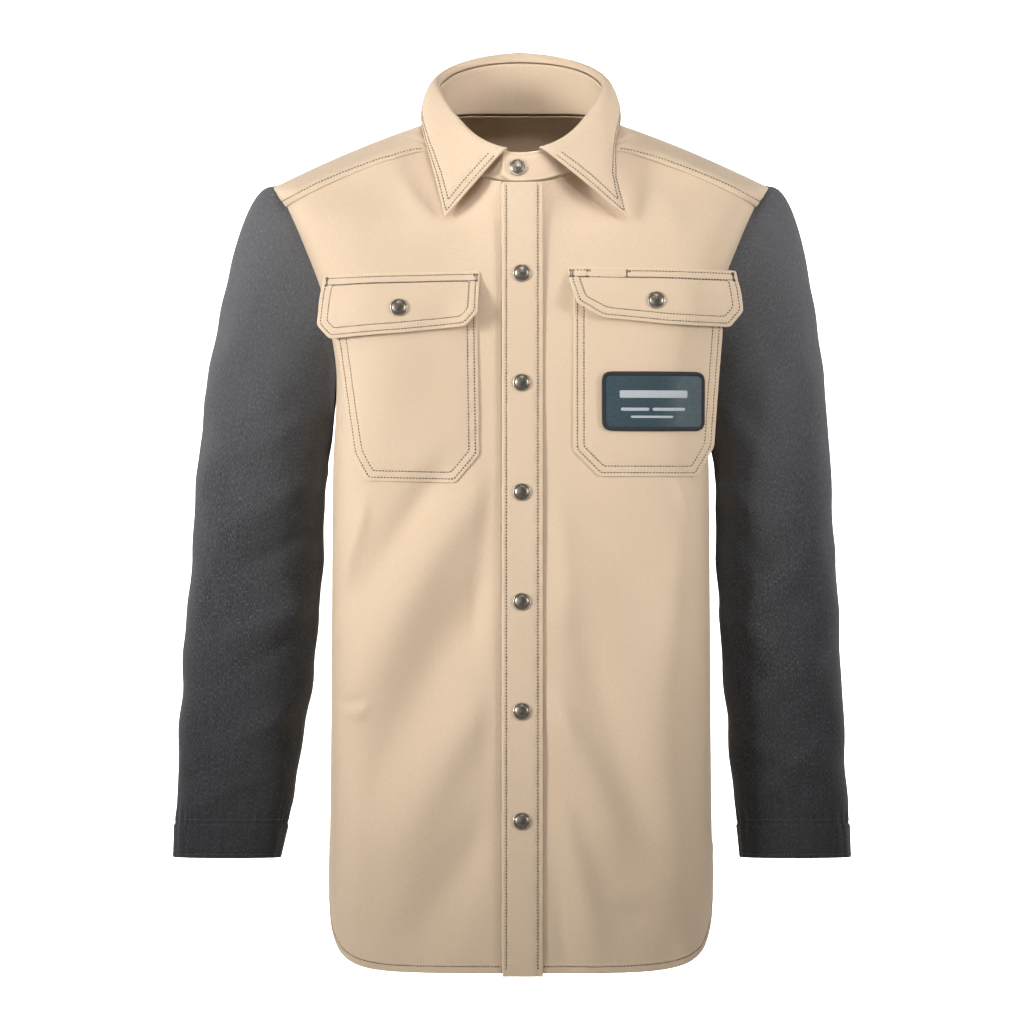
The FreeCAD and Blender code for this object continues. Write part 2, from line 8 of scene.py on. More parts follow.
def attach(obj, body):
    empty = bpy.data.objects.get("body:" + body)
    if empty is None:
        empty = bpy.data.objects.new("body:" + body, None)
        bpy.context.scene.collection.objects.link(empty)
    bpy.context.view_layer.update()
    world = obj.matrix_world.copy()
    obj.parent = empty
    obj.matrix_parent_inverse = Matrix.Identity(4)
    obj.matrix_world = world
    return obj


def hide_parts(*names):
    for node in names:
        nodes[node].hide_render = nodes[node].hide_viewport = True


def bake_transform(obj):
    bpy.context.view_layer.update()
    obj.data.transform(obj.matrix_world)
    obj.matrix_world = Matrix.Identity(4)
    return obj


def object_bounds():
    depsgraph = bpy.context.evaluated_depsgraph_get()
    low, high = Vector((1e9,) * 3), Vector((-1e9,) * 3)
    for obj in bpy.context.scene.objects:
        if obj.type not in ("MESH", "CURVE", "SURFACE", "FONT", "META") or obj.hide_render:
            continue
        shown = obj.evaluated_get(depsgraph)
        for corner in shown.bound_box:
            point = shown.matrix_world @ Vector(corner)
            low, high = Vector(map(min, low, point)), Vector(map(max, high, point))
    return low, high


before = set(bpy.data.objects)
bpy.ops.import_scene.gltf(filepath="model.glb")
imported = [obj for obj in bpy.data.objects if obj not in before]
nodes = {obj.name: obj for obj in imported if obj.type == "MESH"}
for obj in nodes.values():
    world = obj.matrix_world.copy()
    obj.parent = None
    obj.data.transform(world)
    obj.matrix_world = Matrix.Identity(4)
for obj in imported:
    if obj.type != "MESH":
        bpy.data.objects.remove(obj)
cadBox = [list(map(float, corner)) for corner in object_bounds()]
print("frame loaded")

neckHeight = 795.0      # the frame's origin above the hem; shapes below are in mm, with heights from the hem


# smooth lines and the torso's shape
def softCurve(*knots):
    xs = np.array([k[0] for k in knots], float)
    ys = np.array([k[1] for k in knots], float)
    steps = np.diff(ys) / np.diff(xs)
    same = steps[:-1] * steps[1:] > 0
    inner = np.where(same, 2 * steps[:-1] * steps[1:] / np.where(same, steps[:-1] + steps[1:], 1), 0)
    slopes = np.concatenate([steps[:1], inner, steps[-1:]])

    def value(x):
        x = np.asarray(x, float)
        i = np.clip(np.searchsorted(xs, x, side="right") - 1, 0, len(xs) - 2)
        width = xs[i + 1] - xs[i]
        t = np.clip((x - xs[i]) / width, 0, 1)
        middle = ((1 + 2 * t) * (1 - t) ** 2 * ys[i] + t * (1 - t) ** 2 * width * slopes[i]
                  + t * t * (3 - 2 * t) * ys[i + 1] + t * t * (t - 1) * width * slopes[i + 1])
        return middle + np.minimum(x - xs[0], 0) * slopes[0] + np.maximum(x - xs[-1], 0) * slopes[-1]

    return value


def mix(a, b, t):
    return a + (b - a) * t


def smooth(value):
    value = np.clip(value, 0, 1)
    return value * value * (3 - 2 * value)


edgeX = softCurve((0, 181), (200, 178), (465, 176), (554, 172), (629, 184), (684, 204), (720, 220),
                  (770, 246))
frontEdgeY = softCurve((0, -14), (425, -14), (540, -36), (620, -44), (690, -34), (720, -25), (770, 0))
backEdgeY = softCurve((0, -14), (425, -14), (540, 22), (620, 38), (700, 38))
backDepth = softCurve((0, 100), (200, 92), (400, 96), (600, 116), (700, 112))
chestBulge = softCurve((0, 0), (250, 2), (430, 8), (590, 16), (690, 10), (770, 0))
shoulderLean = softCurve((620, 0), (690, 6), (738, 30), (770, 40))
frontNeckline = softCurve((0, 738), (25, 741), (55, 754), (72, 767.5), (88, 767.5), (120, 760), (170, 741),
                          (220, 717))
squareness = 0.075
lastAngle = math.pi / 2 * 0.998


def centreY(h):
    return mix(-121.0, -92.0, h / 738.0)


def roundX(angle):
    return (np.sin(angle) + squareness * np.sin(3 * angle)) / (1 - squareness)


def roundY(angle):
    return (np.cos(angle) - squareness * np.cos(3 * angle)) / (1 - squareness)


def frontPoint(angle, h):
    x = edgeX(h) * roundX(angle)
    edge = frontEdgeY(h)
    middle = centreY(h) + np.where(h > 620, shoulderLean(h) * smooth((x - 10) / 65), 0)
    y = edge + (middle - edge) * roundY(angle) - chestBulge(h) * np.sin(2 * angle) ** 2
    return x, y


def angleAt(x, h):
    x, h = np.broadcast_arrays(np.asarray(x, float), np.asarray(h, float))
    low, high, edge = np.zeros(x.shape), np.full(x.shape, math.pi / 2), edgeX(h)
    for _ in range(34):
        middle = (low + high) / 2
        short = edge * roundX(middle) < x
        low, high = np.where(short, middle, low), np.where(short, high, middle)
    return low


# folds of the front: from and to as (x, height), how far they stand out, their half width
frontFolds = [
    ((-34, 452), (-168, 250), 8.5, 26), ((-70, 470), (-176, 330), -6.0, 17),
    ((-26, 372), (-150, 170), -8.0, 27),
    ((-34, 250), (-124, 110), 7.0, 26), ((-30, 150), (-96, 20), -6.0, 24),
    ((-140, 210), (-168, 50), 4.0, 18),
    ((-24, 480), (-38, 300), -4.5, 13), ((24, 270), (92, 110), 8.0, 19), ((52, 320), (124, 130), -6.5, 21),
    ((26, 170), (76, 14), 6.0, 15), ((20, 100), (46, 0), -4.0, 11), ((160, 420), (124, 150), 5.5, 24),
    ((60, 436), (150, 320), -4.5, 22), ((95, 60), (150, 20), -4.0, 20), ((26, 436), (44, 330), 4.0, 14),
    ((-110, 735), (-60, 690), 2.4, 12), ((120, 735), (150, 690), 2.4, 10),
    ((-150, 440), (-172, 360), 5.0, 9),
    ((-178, 262), (-150, 250), -3.6, 5), ((-178, 252), (-146, 241), 2.8, 6),
    ((150, 458), (176, 380), 4.0, 9)]


def ridgeSum(x, h, folds):
    total = np.zeros(np.broadcast(x, h).shape)
    for (x0, h0), (x1, h1), rise, width in folds:
        dx, dh = x1 - x0, h1 - h0
        length = math.hypot(dx, dh)
        along = ((x - x0) * dx + (h - h0) * dh) / length ** 2
        across = ((x - x0) * dh - (h - h0) * dx) / length + 5 * np.sin(along * 3.1 + x0)
        spread = width * (0.75 + 0.5 * np.clip(along, 0, 1))
        ends = smooth((along + 0.22) / 0.45) * smooth((1.22 - along) / 0.45)
        total = total + rise * ends * np.exp(-(across / spread) ** 2)
    return total


def frontFold(x, h):
    calm = smooth((np.abs(x) - 17) / 30) * smooth((182 - np.abs(x)) / 26)
    soft = 1.1 * np.sin(x / 31 + h / 90) * np.sin(h / 67 + x / 120) + 0.5 * np.sin(x / 13 - h / 41)
    pockets = smooth((h - 440) / 40) * smooth((690 - h) / 30) * smooth((np.abs(x) - 30) / 20)
    return calm * (ridgeSum(x, h, frontFolds) + soft * (1 - 0.6 * pockets))


def frontY(x, h):
    limit = 0.87 * edgeX(h)
    reach = np.minimum(np.abs(x), limit)
    y = frontPoint(angleAt(reach, h), h)[1]
    before = frontPoint(angleAt(limit - 1, h), h)[1]
    at = frontPoint(angleAt(limit, h), h)[1]
    return y + np.maximum(np.abs(x) - limit, 0) * (at - before)


def frontNormal(x, h):
    dx = (frontY(x + 0.5, h) - frontY(x - 0.5, h))
    dh = (frontY(x, h + 0.5) - frontY(x, h - 0.5))
    normal = np.stack([dx, -np.ones_like(dx), dh], -1)
    return normal / np.linalg.norm(normal, axis=-1, keepdims=True)


def onFront(x, h, offset, fold=1.0):
    x, h = np.broadcast_arrays(np.asarray(x, float), np.asarray(h, float))
    point = np.stack([x, frontY(x, h), h], -1) + frontNormal(x, h) * np.asarray(offset)[..., None]
    point[..., 1] -= frontFold(x, h) * fold
    return point


# meshes
def toFrame(points):
    moved = np.array(points, float)
    moved[..., 2] -= neckHeight
    return moved / 1000


def meshFrom(name, points, faces, uvs=None, edgeDistance=None, material=None):
    mesh = bpy.data.meshes.new(name)
    mesh.from_pydata(toFrame(points).tolist(), [], faces)
    mesh.polygons.foreach_set("use_smooth", [True] * len(mesh.polygons))
    if uvs is not None:
        layer = mesh.uv_layers.new(name="UVMap")
        corners = np.empty(len(mesh.loops), int)
        mesh.loops.foreach_get("vertex_index", corners)
        layer.data.foreach_set("uv", np.asarray(uvs, float)[corners].ravel())
    if edgeDistance is not None:
        far = mesh.attributes.new("edgeDistance", "FLOAT", "POINT")
        far.data.foreach_set("value", np.asarray(edgeDistance, float))
    piece = bpy.data.objects.new(name, mesh)
    bpy.context.scene.collection.objects.link(piece)
    if material:
        mesh.materials.append(material)
    mesh.update()
    return piece


def edgeSteps(count, length, edge):     # finer near both ends, where the cloth's edge rounds over
    near = np.array([0, 0.1, 0.35, 0.8, 1.6, 2.6]) * edge / length
    return np.concatenate([near, np.linspace(near[-1], 1 - near[-1], count)[1:-1], 1 - near[::-1]])


def arcLengths(points, axis):
    steps = np.linalg.norm(np.diff(points, axis=axis), axis=-1)
    start = np.zeros_like(np.take(steps, [0], axis=axis))
    return np.concatenate([start, np.cumsum(steps, axis=axis)], axis=axis)


def gridNormals(points, side=1, closed=False):
    if closed:
        wide = np.concatenate([points[-2:-1], points, points[1:2]])
        alongS = (wide[2:] - wide[:-2])
    else:
        alongS = np.gradient(points, axis=0)
    normal = np.cross(alongS, np.gradient(points, axis=1)) * side
    size = np.linalg.norm(normal, axis=-1, keepdims=True)
    return normal / np.where(size < 1e-9, 1, size)


def quads(grid, flip):
    faces = np.stack([grid[:-1, :-1], grid[1:, :-1], grid[1:, 1:], grid[:-1, 1:]], -1).reshape(-1, 4)
    return faces[:, ::-1] if flip else faces


def wholeMillimetres(*lengths):
    return [float(np.ceil(length)) / 1000 for length in lengths]


def recordCloth(piece, points):
    acrossCell = points[1:, :-1] - points[:-1, :-1]
    alongCell = points[:-1, 1:] - points[:-1, :-1]
    piece["clothArea"] = float(np.sum(np.linalg.norm(np.cross(acrossCell, alongCell), axis=-1)) / 1e6)
    piece["clothFlat"] = wholeMillimetres(arcLengths(points, 0)[-1].max(),
                                          arcLengths(points, 1)[:, -1].max())
    print("cloth", piece.name, tuple(piece["clothFlat"]), round(piece["clothArea"], 4))


def clothGrid(name, surface, s, t, thick, offset=0.0, side=1, rounded=1.0, relief=None, material=None):
    sShare, tShare = np.meshgrid(s, t, indexing="ij")
    points = surface(sShare, tShare)
    normals = gridNormals(points, side)
    lengthS, lengthT = arcLengths(points, 0), arcLengths(points, 1)
    gaps = {"s0": lengthS, "s1": lengthS[-1:] - lengthS, "t0": lengthT, "t1": lengthT[:, -1:] - lengthT}
    distance = np.min(list(gaps.values()), axis=0)
    half = thick / 2 * np.sqrt(1 - (1 - np.clip(distance / rounded, 0, 1)) ** 2)
    lift = offset(sShare, tShare, points) if callable(offset) else np.full(sShare.shape, float(offset))
    if relief is not None:
        lift = lift + relief(points, distance, gaps)
    outer = points + normals * (lift + half)[..., None]
    inner = points + normals * (lift - half)[..., None]
    ns, nt = sShare.shape
    index = np.arange(ns * nt).reshape(ns, nt)
    back = index.copy()
    back[1:-1, 1:-1] = ns * nt + np.arange((ns - 2) * (nt - 2)).reshape(ns - 2, nt - 2)

    faces = np.concatenate([quads(index, side < 0), quads(back, side > 0)]).tolist()
    allPoints = np.concatenate([outer.reshape(-1, 3), inner[1:-1, 1:-1].reshape(-1, 3)])
    uAcross = lengthS[:, nt // 2][:, None] / 1000 + sShare * 0
    vAlong = lengthT[ns // 2][None, :] / 1000 + tShare * 0
    uv = np.stack([uAcross, vAlong], -1)
    uvs = np.concatenate([uv.reshape(-1, 2), uv[1:-1, 1:-1].reshape(-1, 2)])
    far = np.concatenate([distance.ravel(), distance[1:-1, 1:-1].ravel()])
    piece = meshFrom(name, allPoints, faces, uvs, far, material)
    recordCloth(piece, points)
    return piece, outer


def clothTube(name, surface, count, t, thick, relief=None, material=None, softEnds=(True, True)):
    s = np.linspace(0, 1, count + 1)
    sShare, tShare = np.meshgrid(s, t, indexing="ij")
    points = surface(sShare, tShare)
    normals = gridNormals(points, 1, closed=True)
    if relief is not None:
        points = points + normals * relief(points, sShare, tShare)[..., None]
        normals = gridNormals(points, 1, closed=True)
    lengthT = arcLengths(points, 1)
    half = np.full(sShare.shape, thick / 2)
    for soft, gap in ((softEnds[0], lengthT), (softEnds[1], lengthT[:, -1:] - lengthT)):
        if soft:
            half = np.minimum(half, thick / 2 * np.sqrt(1 - (1 - np.clip(gap / 1.2, 0, 1)) ** 2) + 0.02)
    outer, inner = points + normals * half[..., None], points - normals * half[..., None]
    ns, nt = sShare.shape[0] - 1, sShare.shape[1]
    index = np.arange(ns * nt).reshape(ns, nt)
    index = np.concatenate([index, index[:1]])
    back = index + ns * nt

    rims = []
    for j, flip in ((0, False), (nt - 1, True)):
        rim = np.stack([index[:-1, j], back[:-1, j], back[1:, j], index[1:, j]], -1)
        rims.append(rim[:, ::-1] if flip else rim)
    faces = np.concatenate([quads(index, False), quads(back, True)] + rims).tolist()
    allPoints = np.concatenate([outer[:-1].reshape(-1, 3), inner[:-1].reshape(-1, 3)])
    around = arcLengths(points, 0)[:, nt // 2]
    mesh = bpy.data.meshes.new(name)
    mesh.from_pydata(toFrame(allPoints).tolist(), [], faces)
    mesh.polygons.foreach_set("use_smooth", [True] * len(mesh.polygons))
    layer = mesh.uv_layers.new(name="UVMap")
    corners = np.empty(len(mesh.loops), int)
    mesh.loops.foreach_get("vertex_index", corners)
    column, row = (corners % (ns * nt)) // nt, corners % nt
    columns = column.reshape(-1, 4)
    # every face here has four corners
    wraps = (columns.max(1) - columns.min(1) > ns / 2)[:, None] & (columns == 0)
    column = np.where(wraps, ns, columns).ravel()
    uv = np.stack([around[column] / 1000, lengthT[count // 4][row] / 1000], -1)
    layer.data.foreach_set("uv", uv.ravel())
    far = np.minimum(lengthT if softEnds[0] else 99.0, lengthT[:, -1:] - lengthT
                     if softEnds[1] else 99.0)[:-1]
    far = np.broadcast_to(far, (ns, nt))
    distances = mesh.attributes.new("edgeDistance", "FLOAT", "POINT")
    distances.data.foreach_set("value", np.concatenate([far.ravel()] * 2))
    mesh.set_sharp_from_angle(angle=math.radians(60))
    piece = bpy.data.objects.new(name, mesh)
    bpy.context.scene.collection.objects.link(piece)
    mesh.materials.append(material)
    mesh.update()
    recordCloth(piece, points)
    return piece, outer


# pieces cut to an outline
def insetCorners(corners, distance):
    corners = np.asarray(corners, float)
    ahead = np.roll(corners, -1, 0) - corners
    ahead /= np.linalg.norm(ahead, axis=1, keepdims=True)
    turning = np.sum(corners[:, 0] * np.roll(corners[:, 1], -1) - np.roll(corners[:, 0], -1) * corners[:, 1])
    inward = np.stack([-ahead[:, 1], ahead[:, 0]], 1) * np.sign(turning)
    moved = []
    for i in range(len(corners)):
        n0, n1 = inward[i - 1], inward[i]
        moved.append(corners[i] + (n0 + n1) * distance / (1 + float(np.dot(n0, n1))))
    return np.array(moved)


def softOutline(corners, radius, step):
    corners = np.asarray(corners, float)
    path = []
    for i in range(len(corners)):
        before, here, after = corners[i - 1], corners[i], corners[(i + 1) % len(corners)]
        a, b = before - here, after - here
        reach = min(radius, np.linalg.norm(a) * 0.45, np.linalg.norm(b) * 0.45)
        p0, p1 = here + a / np.linalg.norm(a) * reach, here + b / np.linalg.norm(b) * reach
        for k in np.linspace(0, 1, 6):
            path.append(p0 * (1 - k) ** 2 + here * 2 * k * (1 - k) + p1 * k * k)
    path = np.array(path + path[:1])
    keep = np.concatenate([[True], np.linalg.norm(np.diff(path, axis=0), axis=1) > 1e-6])
    path = path[keep]
    length = np.concatenate([[0], np.cumsum(np.linalg.norm(np.diff(path, axis=0), axis=1))])
    at = np.linspace(0, length[-1], max(8, int(length[-1] / step)), endpoint=False)
    return np.stack([np.interp(at, length, path[:, 0]), np.interp(at, length, path[:, 1])], 1)


def outlineDistance(points, outline):
    a, b = outline, np.roll(outline, -1, 0)
    ab = b - a
    best = np.full(len(points), 1e9)
    inside = np.zeros(len(points), bool)
    for i in range(len(a)):
        ap = points - a[i]
        along = np.clip((ap @ ab[i]) / (ab[i] @ ab[i]), 0, 1)
        best = np.minimum(best, np.linalg.norm(ap - along[:, None] * ab[i], axis=1))
        crosses = (a[i, 1] > points[:, 1]) != (b[i, 1] > points[:, 1])
        slope = ab[i, 1] if ab[i, 1] else 1e-9
        inside ^= crosses & (points[:, 0] < ab[i, 0] * (points[:, 1] - a[i, 1]) / slope + a[i, 0])
    return best, inside


def cutCloth(name, corners, place, thick, step=2.0, radius=2.5, rounded=0.9, material=None):
    corners = np.asarray(corners, float)
    turning = np.sum(corners[:, 0] * np.roll(corners[:, 1], -1) - np.roll(corners[:, 0], -1) * corners[:, 1])
    if turning < 0:
        corners = corners[::-1]
    outline = softOutline(corners, radius, step * 0.8)
    ahead = np.roll(outline, -1, 0) - np.roll(outline, 1, 0)
    inward = np.stack([-ahead[:, 1], ahead[:, 0]], 1) / np.linalg.norm(ahead, axis=1, keepdims=True)
    rings = [outline + inward * d * rounded for d in (0.1, 0.35, 1.0)]
    low, high = outline.min(0), outline.max(0)
    gx, gh = np.meshgrid(np.arange(low[0], high[0], step), np.arange(low[1], high[1], step), indexing="ij")
    inner = np.stack([gx.ravel(), gh.ravel()], 1)
    gap, inside = outlineDistance(inner, outline)
    inner = inner[inside & (gap > rounded + step * 0.5)]
    flat = np.concatenate([outline] + rings + [inner])
    count = len(outline)
    verts, _, faces, *_ = delaunay_2d_cdt([Vector(p) for p in flat], [], [list(range(count))], 1, 1e-6)
    flat = np.array([[v.x, v.y] for v in verts])
    distance, _ = outlineDistance(flat, outline)
    rim = np.arange(len(flat)) < count
    distance[rim] = 0
    half = np.where(rim, 0, thick / 2 * np.sqrt(1 - (1 - np.clip(distance / rounded, 0, 1)) ** 2))
    outer = place(flat[:, 0], flat[:, 1], distance, half)
    innerSide = place(flat[:, 0], flat[:, 1], distance, -half)
    back = np.where(rim, np.arange(len(flat)), len(flat) + np.cumsum(~rim) - 1)
    front = [list(f) for f in faces]
    allFaces = front + [[int(back[v]) for v in f[::-1]] for f in front]
    points = np.concatenate([outer, innerSide[~rim]])
    uv = flat / 1000
    piece = meshFrom(name, points, allFaces, np.concatenate([uv, uv[~rim]]),
                     np.concatenate([distance, distance[~rim]]), material)
    x, h = corners[:, 0], corners[:, 1]
    piece["clothArea"] = float(abs(np.sum(x * np.roll(h, -1) - np.roll(x, -1) * h)) / 2e6)
    piece["clothFlat"] = wholeMillimetres(np.ptp(x), np.ptp(h))
    print("cloth", piece.name, tuple(piece["clothFlat"]), round(piece["clothArea"], 4))
    return piece


# materials
def newMaterial(name):
    material = bpy.data.materials.new(name)
    material.use_nodes = True
    tree = material.node_tree
    tree.nodes.clear()
    out = tree.nodes.new("ShaderNodeOutputMaterial")
    shader = tree.nodes.new("ShaderNodeBsdfPrincipled")
    tree.links.new(shader.outputs["BSDF"], out.inputs["Surface"])
    return material, tree, shader


def node(tree, kind, inputs=None, **settings):
    made = tree.nodes.new(kind)
    for key, value in settings.items():
        setattr(made, key, value)
    for key, value in (inputs or {}).items():
        if isinstance(value, bpy.types.NodeSocket):
            tree.links.new(value, made.inputs[key])
        else:
            made.inputs[key].default_value = value
    return made


def stretched(tree, coordinates, scale):
    return node(tree, "ShaderNodeMapping", {"Vector": coordinates, "Scale": scale}).outputs["Vector"]


def noiseOf(tree, vector, scale=1.0, detail=2.0, rough=0.5):
    inputs = {"Vector": vector, "Scale": scale, "Detail": detail, "Roughness": rough}
    return node(tree, "ShaderNodeTexNoise", inputs).outputs["Fac"]


def spread(tree, value, low, high, toLow, toHigh):
    return node(tree, "ShaderNodeMapRange",
                {"Value": value, "From Min": low, "From Max": high, "To Min": toLow,
                                             "To Max": toHigh}).outputs["Result"]


def maths(tree, kind, a, b):
    return node(tree, "ShaderNodeMath", {0: a, 1: b}, operation=kind).outputs["Value"]


def blendColour(tree, amount, a, b, kind="MIX"):
    made = node(tree, "ShaderNodeMix", data_type="RGBA", blend_type=kind)
    for socket, value in ((made.inputs["Factor"], amount), (made.inputs[6], a), (made.inputs[7], b)):
        if isinstance(value, bpy.types.NodeSocket):
            tree.links.new(value, socket)
        else:
            socket.default_value = value
    return made.outputs[2]


def duckCanvas(name, look):
    material, tree, shader = newMaterial(name)
    uv = node(tree, "ShaderNodeUVMap", uv_map="UVMap").outputs["UV"]
    place = node(tree, "ShaderNodeTexCoord").outputs["Object"]
    warp = noiseOf(tree, stretched(tree, uv, (look["threads"], look["threads"] * 0.16, 1)), 1.0, 2.0, 0.6)
    weft = noiseOf(tree, stretched(tree, uv, (look["threads"] * 0.16, look["threads"], 1)), 1.0, 2.0, 0.6)
    diagonal = stretched(tree, uv, (look["threads"] * 0.17, look["threads"] * 0.17, 1))
    twill = node(tree, "ShaderNodeTexWave",
                 {"Vector": diagonal, "Scale": 1.0, "Distortion": 1.2, "Detail": 1.0,
                                             "Detail Scale": 0.6},
                 wave_type="BANDS", bands_direction="DIAGONAL").outputs["Fac"]
    weave = maths(tree, "ADD", maths(tree, "MULTIPLY", warp, 0.5), maths(tree, "MULTIPLY", weft, 0.5))
    grain = maths(tree, "ADD", weave, maths(tree, "MULTIPLY", twill, look["twill"]))
    cloud = noiseOf(tree, stretched(tree, place, (1, 1, 1)), 9.0, 3.0, 0.55)
    slub = noiseOf(tree, stretched(tree, uv, (240, 22, 1)), 1.0, 2.0, 0.5)
    edge = node(tree, "ShaderNodeAttribute", attribute_name="edgeDistance").outputs["Fac"]
    colour = blendColour(tree, spread(tree, grain, 0.35, 0.8, 0.0, 1.0), look["dark"], look["light"])
    colour = blendColour(tree, spread(tree, cloud, 0.3, 0.7, 0.0, look["cloud"]), colour, look["deep"])
    colour = blendColour(tree, spread(tree, slub, 0.6, 0.8, 0.0, 0.10), colour, look["pale"])
    worn = maths(tree, "MULTIPLY", spread(tree, edge, 0.0, 1.6, 0.5, 0.0),
                 spread(tree, cloud, 0.35, 0.65, 0.3, 1.0))
    colour = blendColour(tree, worn, colour, look["pale"])
    tree.links.new(colour, shader.inputs["Base Color"])
    tree.links.new(spread(tree, grain, 0.3, 0.9, 0.92, 0.74), shader.inputs["Roughness"])
    shader.inputs["Specular IOR Level"].default_value = 0.25
    shader.inputs["Sheen Weight"].default_value = 0.12
    shader.inputs["Sheen Roughness"].default_value = 0.5
    bump = node(tree, "ShaderNodeBump", {"Height": grain, "Strength": look["relief"], "Distance": 0.0004})
    tree.links.new(bump.outputs["Normal"], shader.inputs["Normal"])
    return material


def denimCloth(name, look):
    material, tree, shader = newMaterial(name)
    uv = node(tree, "ShaderNodeUVMap", uv_map="UVMap").outputs["UV"]
    place = node(tree, "ShaderNodeTexCoord").outputs["Object"]
    fleck = noiseOf(tree, stretched(tree, uv, (1500, 330, 1)), 1.0, 2.0, 0.7)
    streak = noiseOf(tree, stretched(tree, uv, (900, 26, 1)), 1.0, 2.0, 0.6)
    cross = noiseOf(tree, stretched(tree, uv, (300, 1300, 1)), 1.0, 1.0, 0.5)
    diagonal = stretched(tree, uv, (300, 190, 1))
    twill = node(tree, "ShaderNodeTexWave",
                 {"Vector": diagonal, "Scale": 1.0, "Distortion": 1.5, "Detail": 1.0,
                                             "Detail Scale": 0.8},
                 wave_type="BANDS", bands_direction="DIAGONAL").outputs["Fac"]
    cloud = noiseOf(tree, place, 7.0, 3.0, 0.6)
    colour = blendColour(tree, spread(tree, streak, 0.3, 0.72, 0.0, 1.0), look["dark"], look["mid"])
    colour = blendColour(tree, spread(tree, fleck, 0.5, 0.74, 0.0, look["fleck"]), colour, look["light"])
    colour = blendColour(tree, spread(tree, cross, 0.3, 0.7, 0.0, 0.30), colour, look["dark"])
    colour = blendColour(tree, spread(tree, cloud, 0.35, 0.7, 0.0, 0.35), colour, look["mid"])
    # painted shade and painted highlight: the denim colour darkens towards the cuffs and lightens towards
    # the shoulders by height, standing in for the lights' falloff
    height = node(tree, "ShaderNodeSeparateXYZ", {"Vector": place}).outputs["Z"]
    colour = blendColour(tree, spread(tree, height, -0.66, -0.38, 0.55, 0.0), colour, look["dark"])
    colour = blendColour(tree, spread(tree, height, -0.38, -0.09, 0.0, look["paintedTopLight"]), colour, look["light"])
    edge = node(tree, "ShaderNodeAttribute", attribute_name="edgeDistance").outputs["Fac"]
    colour = blendColour(tree, spread(tree, edge, 0.0, 2.2, 0.3, 0.0), colour, look["mid"])
    tree.links.new(colour, shader.inputs["Base Color"])
    grain = maths(tree, "ADD", fleck, maths(tree, "MULTIPLY", twill, 0.6))
    tree.links.new(spread(tree, grain, 0.4, 1.2, 0.95, 0.8), shader.inputs["Roughness"])
    shader.inputs["Specular IOR Level"].default_value = 0.2
    shader.inputs["Sheen Weight"].default_value = look["sheen"]
    shader.inputs["Sheen Roughness"].default_value = 0.45
    shader.inputs["Sheen Tint"].default_value = (0.75, 0.77, 0.8, 1)
    bump = node(tree, "ShaderNodeBump", {"Height": grain, "Strength": 0.45, "Distance": 0.0004})
    tree.links.new(bump.outputs["Normal"], shader.inputs["Normal"])
    return material


def threadCloth(name, dark, light, scale, rough=0.8, stretch=(1, 1, 1), bumpSize=0.0002):
    material, tree, shader = newMaterial(name)
    place = node(tree, "ShaderNodeTexCoord").outputs["Object"]
    twist = noiseOf(tree, stretched(tree, place, stretch), scale, 2.0, 0.6)
    tree.links.new(blendColour(tree, spread(tree, twist, 0.3, 0.7, 0.0, 1.0), dark, light),
                   shader.inputs["Base Color"])
    tree.links.new(spread(tree, twist, 0.2, 0.8, rough + 0.1, rough - 0.15), shader.inputs["Roughness"])
    shader.inputs["Sheen Weight"].default_value = 0.15
    bump = node(tree, "ShaderNodeBump", {"Height": twist, "Strength": 0.5, "Distance": bumpSize})
    tree.links.new(bump.outputs["Normal"], shader.inputs["Normal"])
    return material


def antiqueMetal(name, look):
    material, tree, shader = newMaterial(name)
    place = node(tree, "ShaderNodeTexCoord").outputs["Object"]
    scratch = noiseOf(tree, stretched(tree, place, (2200, 2200, 320)), 1.0, 3.0, 0.6)
    patina = noiseOf(tree, place, 420.0, 3.0, 0.6)
    pointy = node(tree, "ShaderNodeNewGeometry").outputs["Pointiness"]
    colour = blendColour(tree, spread(tree, patina, 0.3, 0.7, 0.0, 1.0), look["dark"], look["mid"])
    colour = blendColour(tree, spread(tree, pointy, 0.5, 0.56, 0.0, 0.8), colour, look["light"])
    colour = blendColour(tree, spread(tree, scratch, 0.55, 0.75, 0.0, 0.35), colour, look["light"])
    tree.links.new(colour, shader.inputs["Base Color"])
    shader.inputs["Metallic"].default_value = 1.0
    tree.links.new(spread(tree, scratch, 0.2, 0.8, look["rough"] - 0.08, look["rough"] + 0.12),
                   shader.inputs["Roughness"])
    bump = node(tree, "ShaderNodeBump", {"Height": scratch, "Strength": 0.15, "Distance": 0.0001})
    tree.links.new(bump.outputs["Normal"], shader.inputs["Normal"])
    return material


canvasLook = {"threads": 1500, "twill": 0.16, "cloud": 0.16, "relief": 0.35, "light": (0.70, 0.55, 0.415, 1),
              "dark": (0.60, 0.452, 0.30, 1), "deep": (0.60, 0.44, 0.285, 1), "pale": (0.84, 0.70, 0.50, 1)}
# painted light: a lighter copy of the canvas for the yoke lining, so the shaded inside of the neck reads
# brighter
insidePaintedLightLook = dict(canvasLook, light=(0.76, 0.59, 0.41, 1), dark=(0.66, 0.50, 0.33, 1),
                  deep=(0.62, 0.46, 0.30, 1))
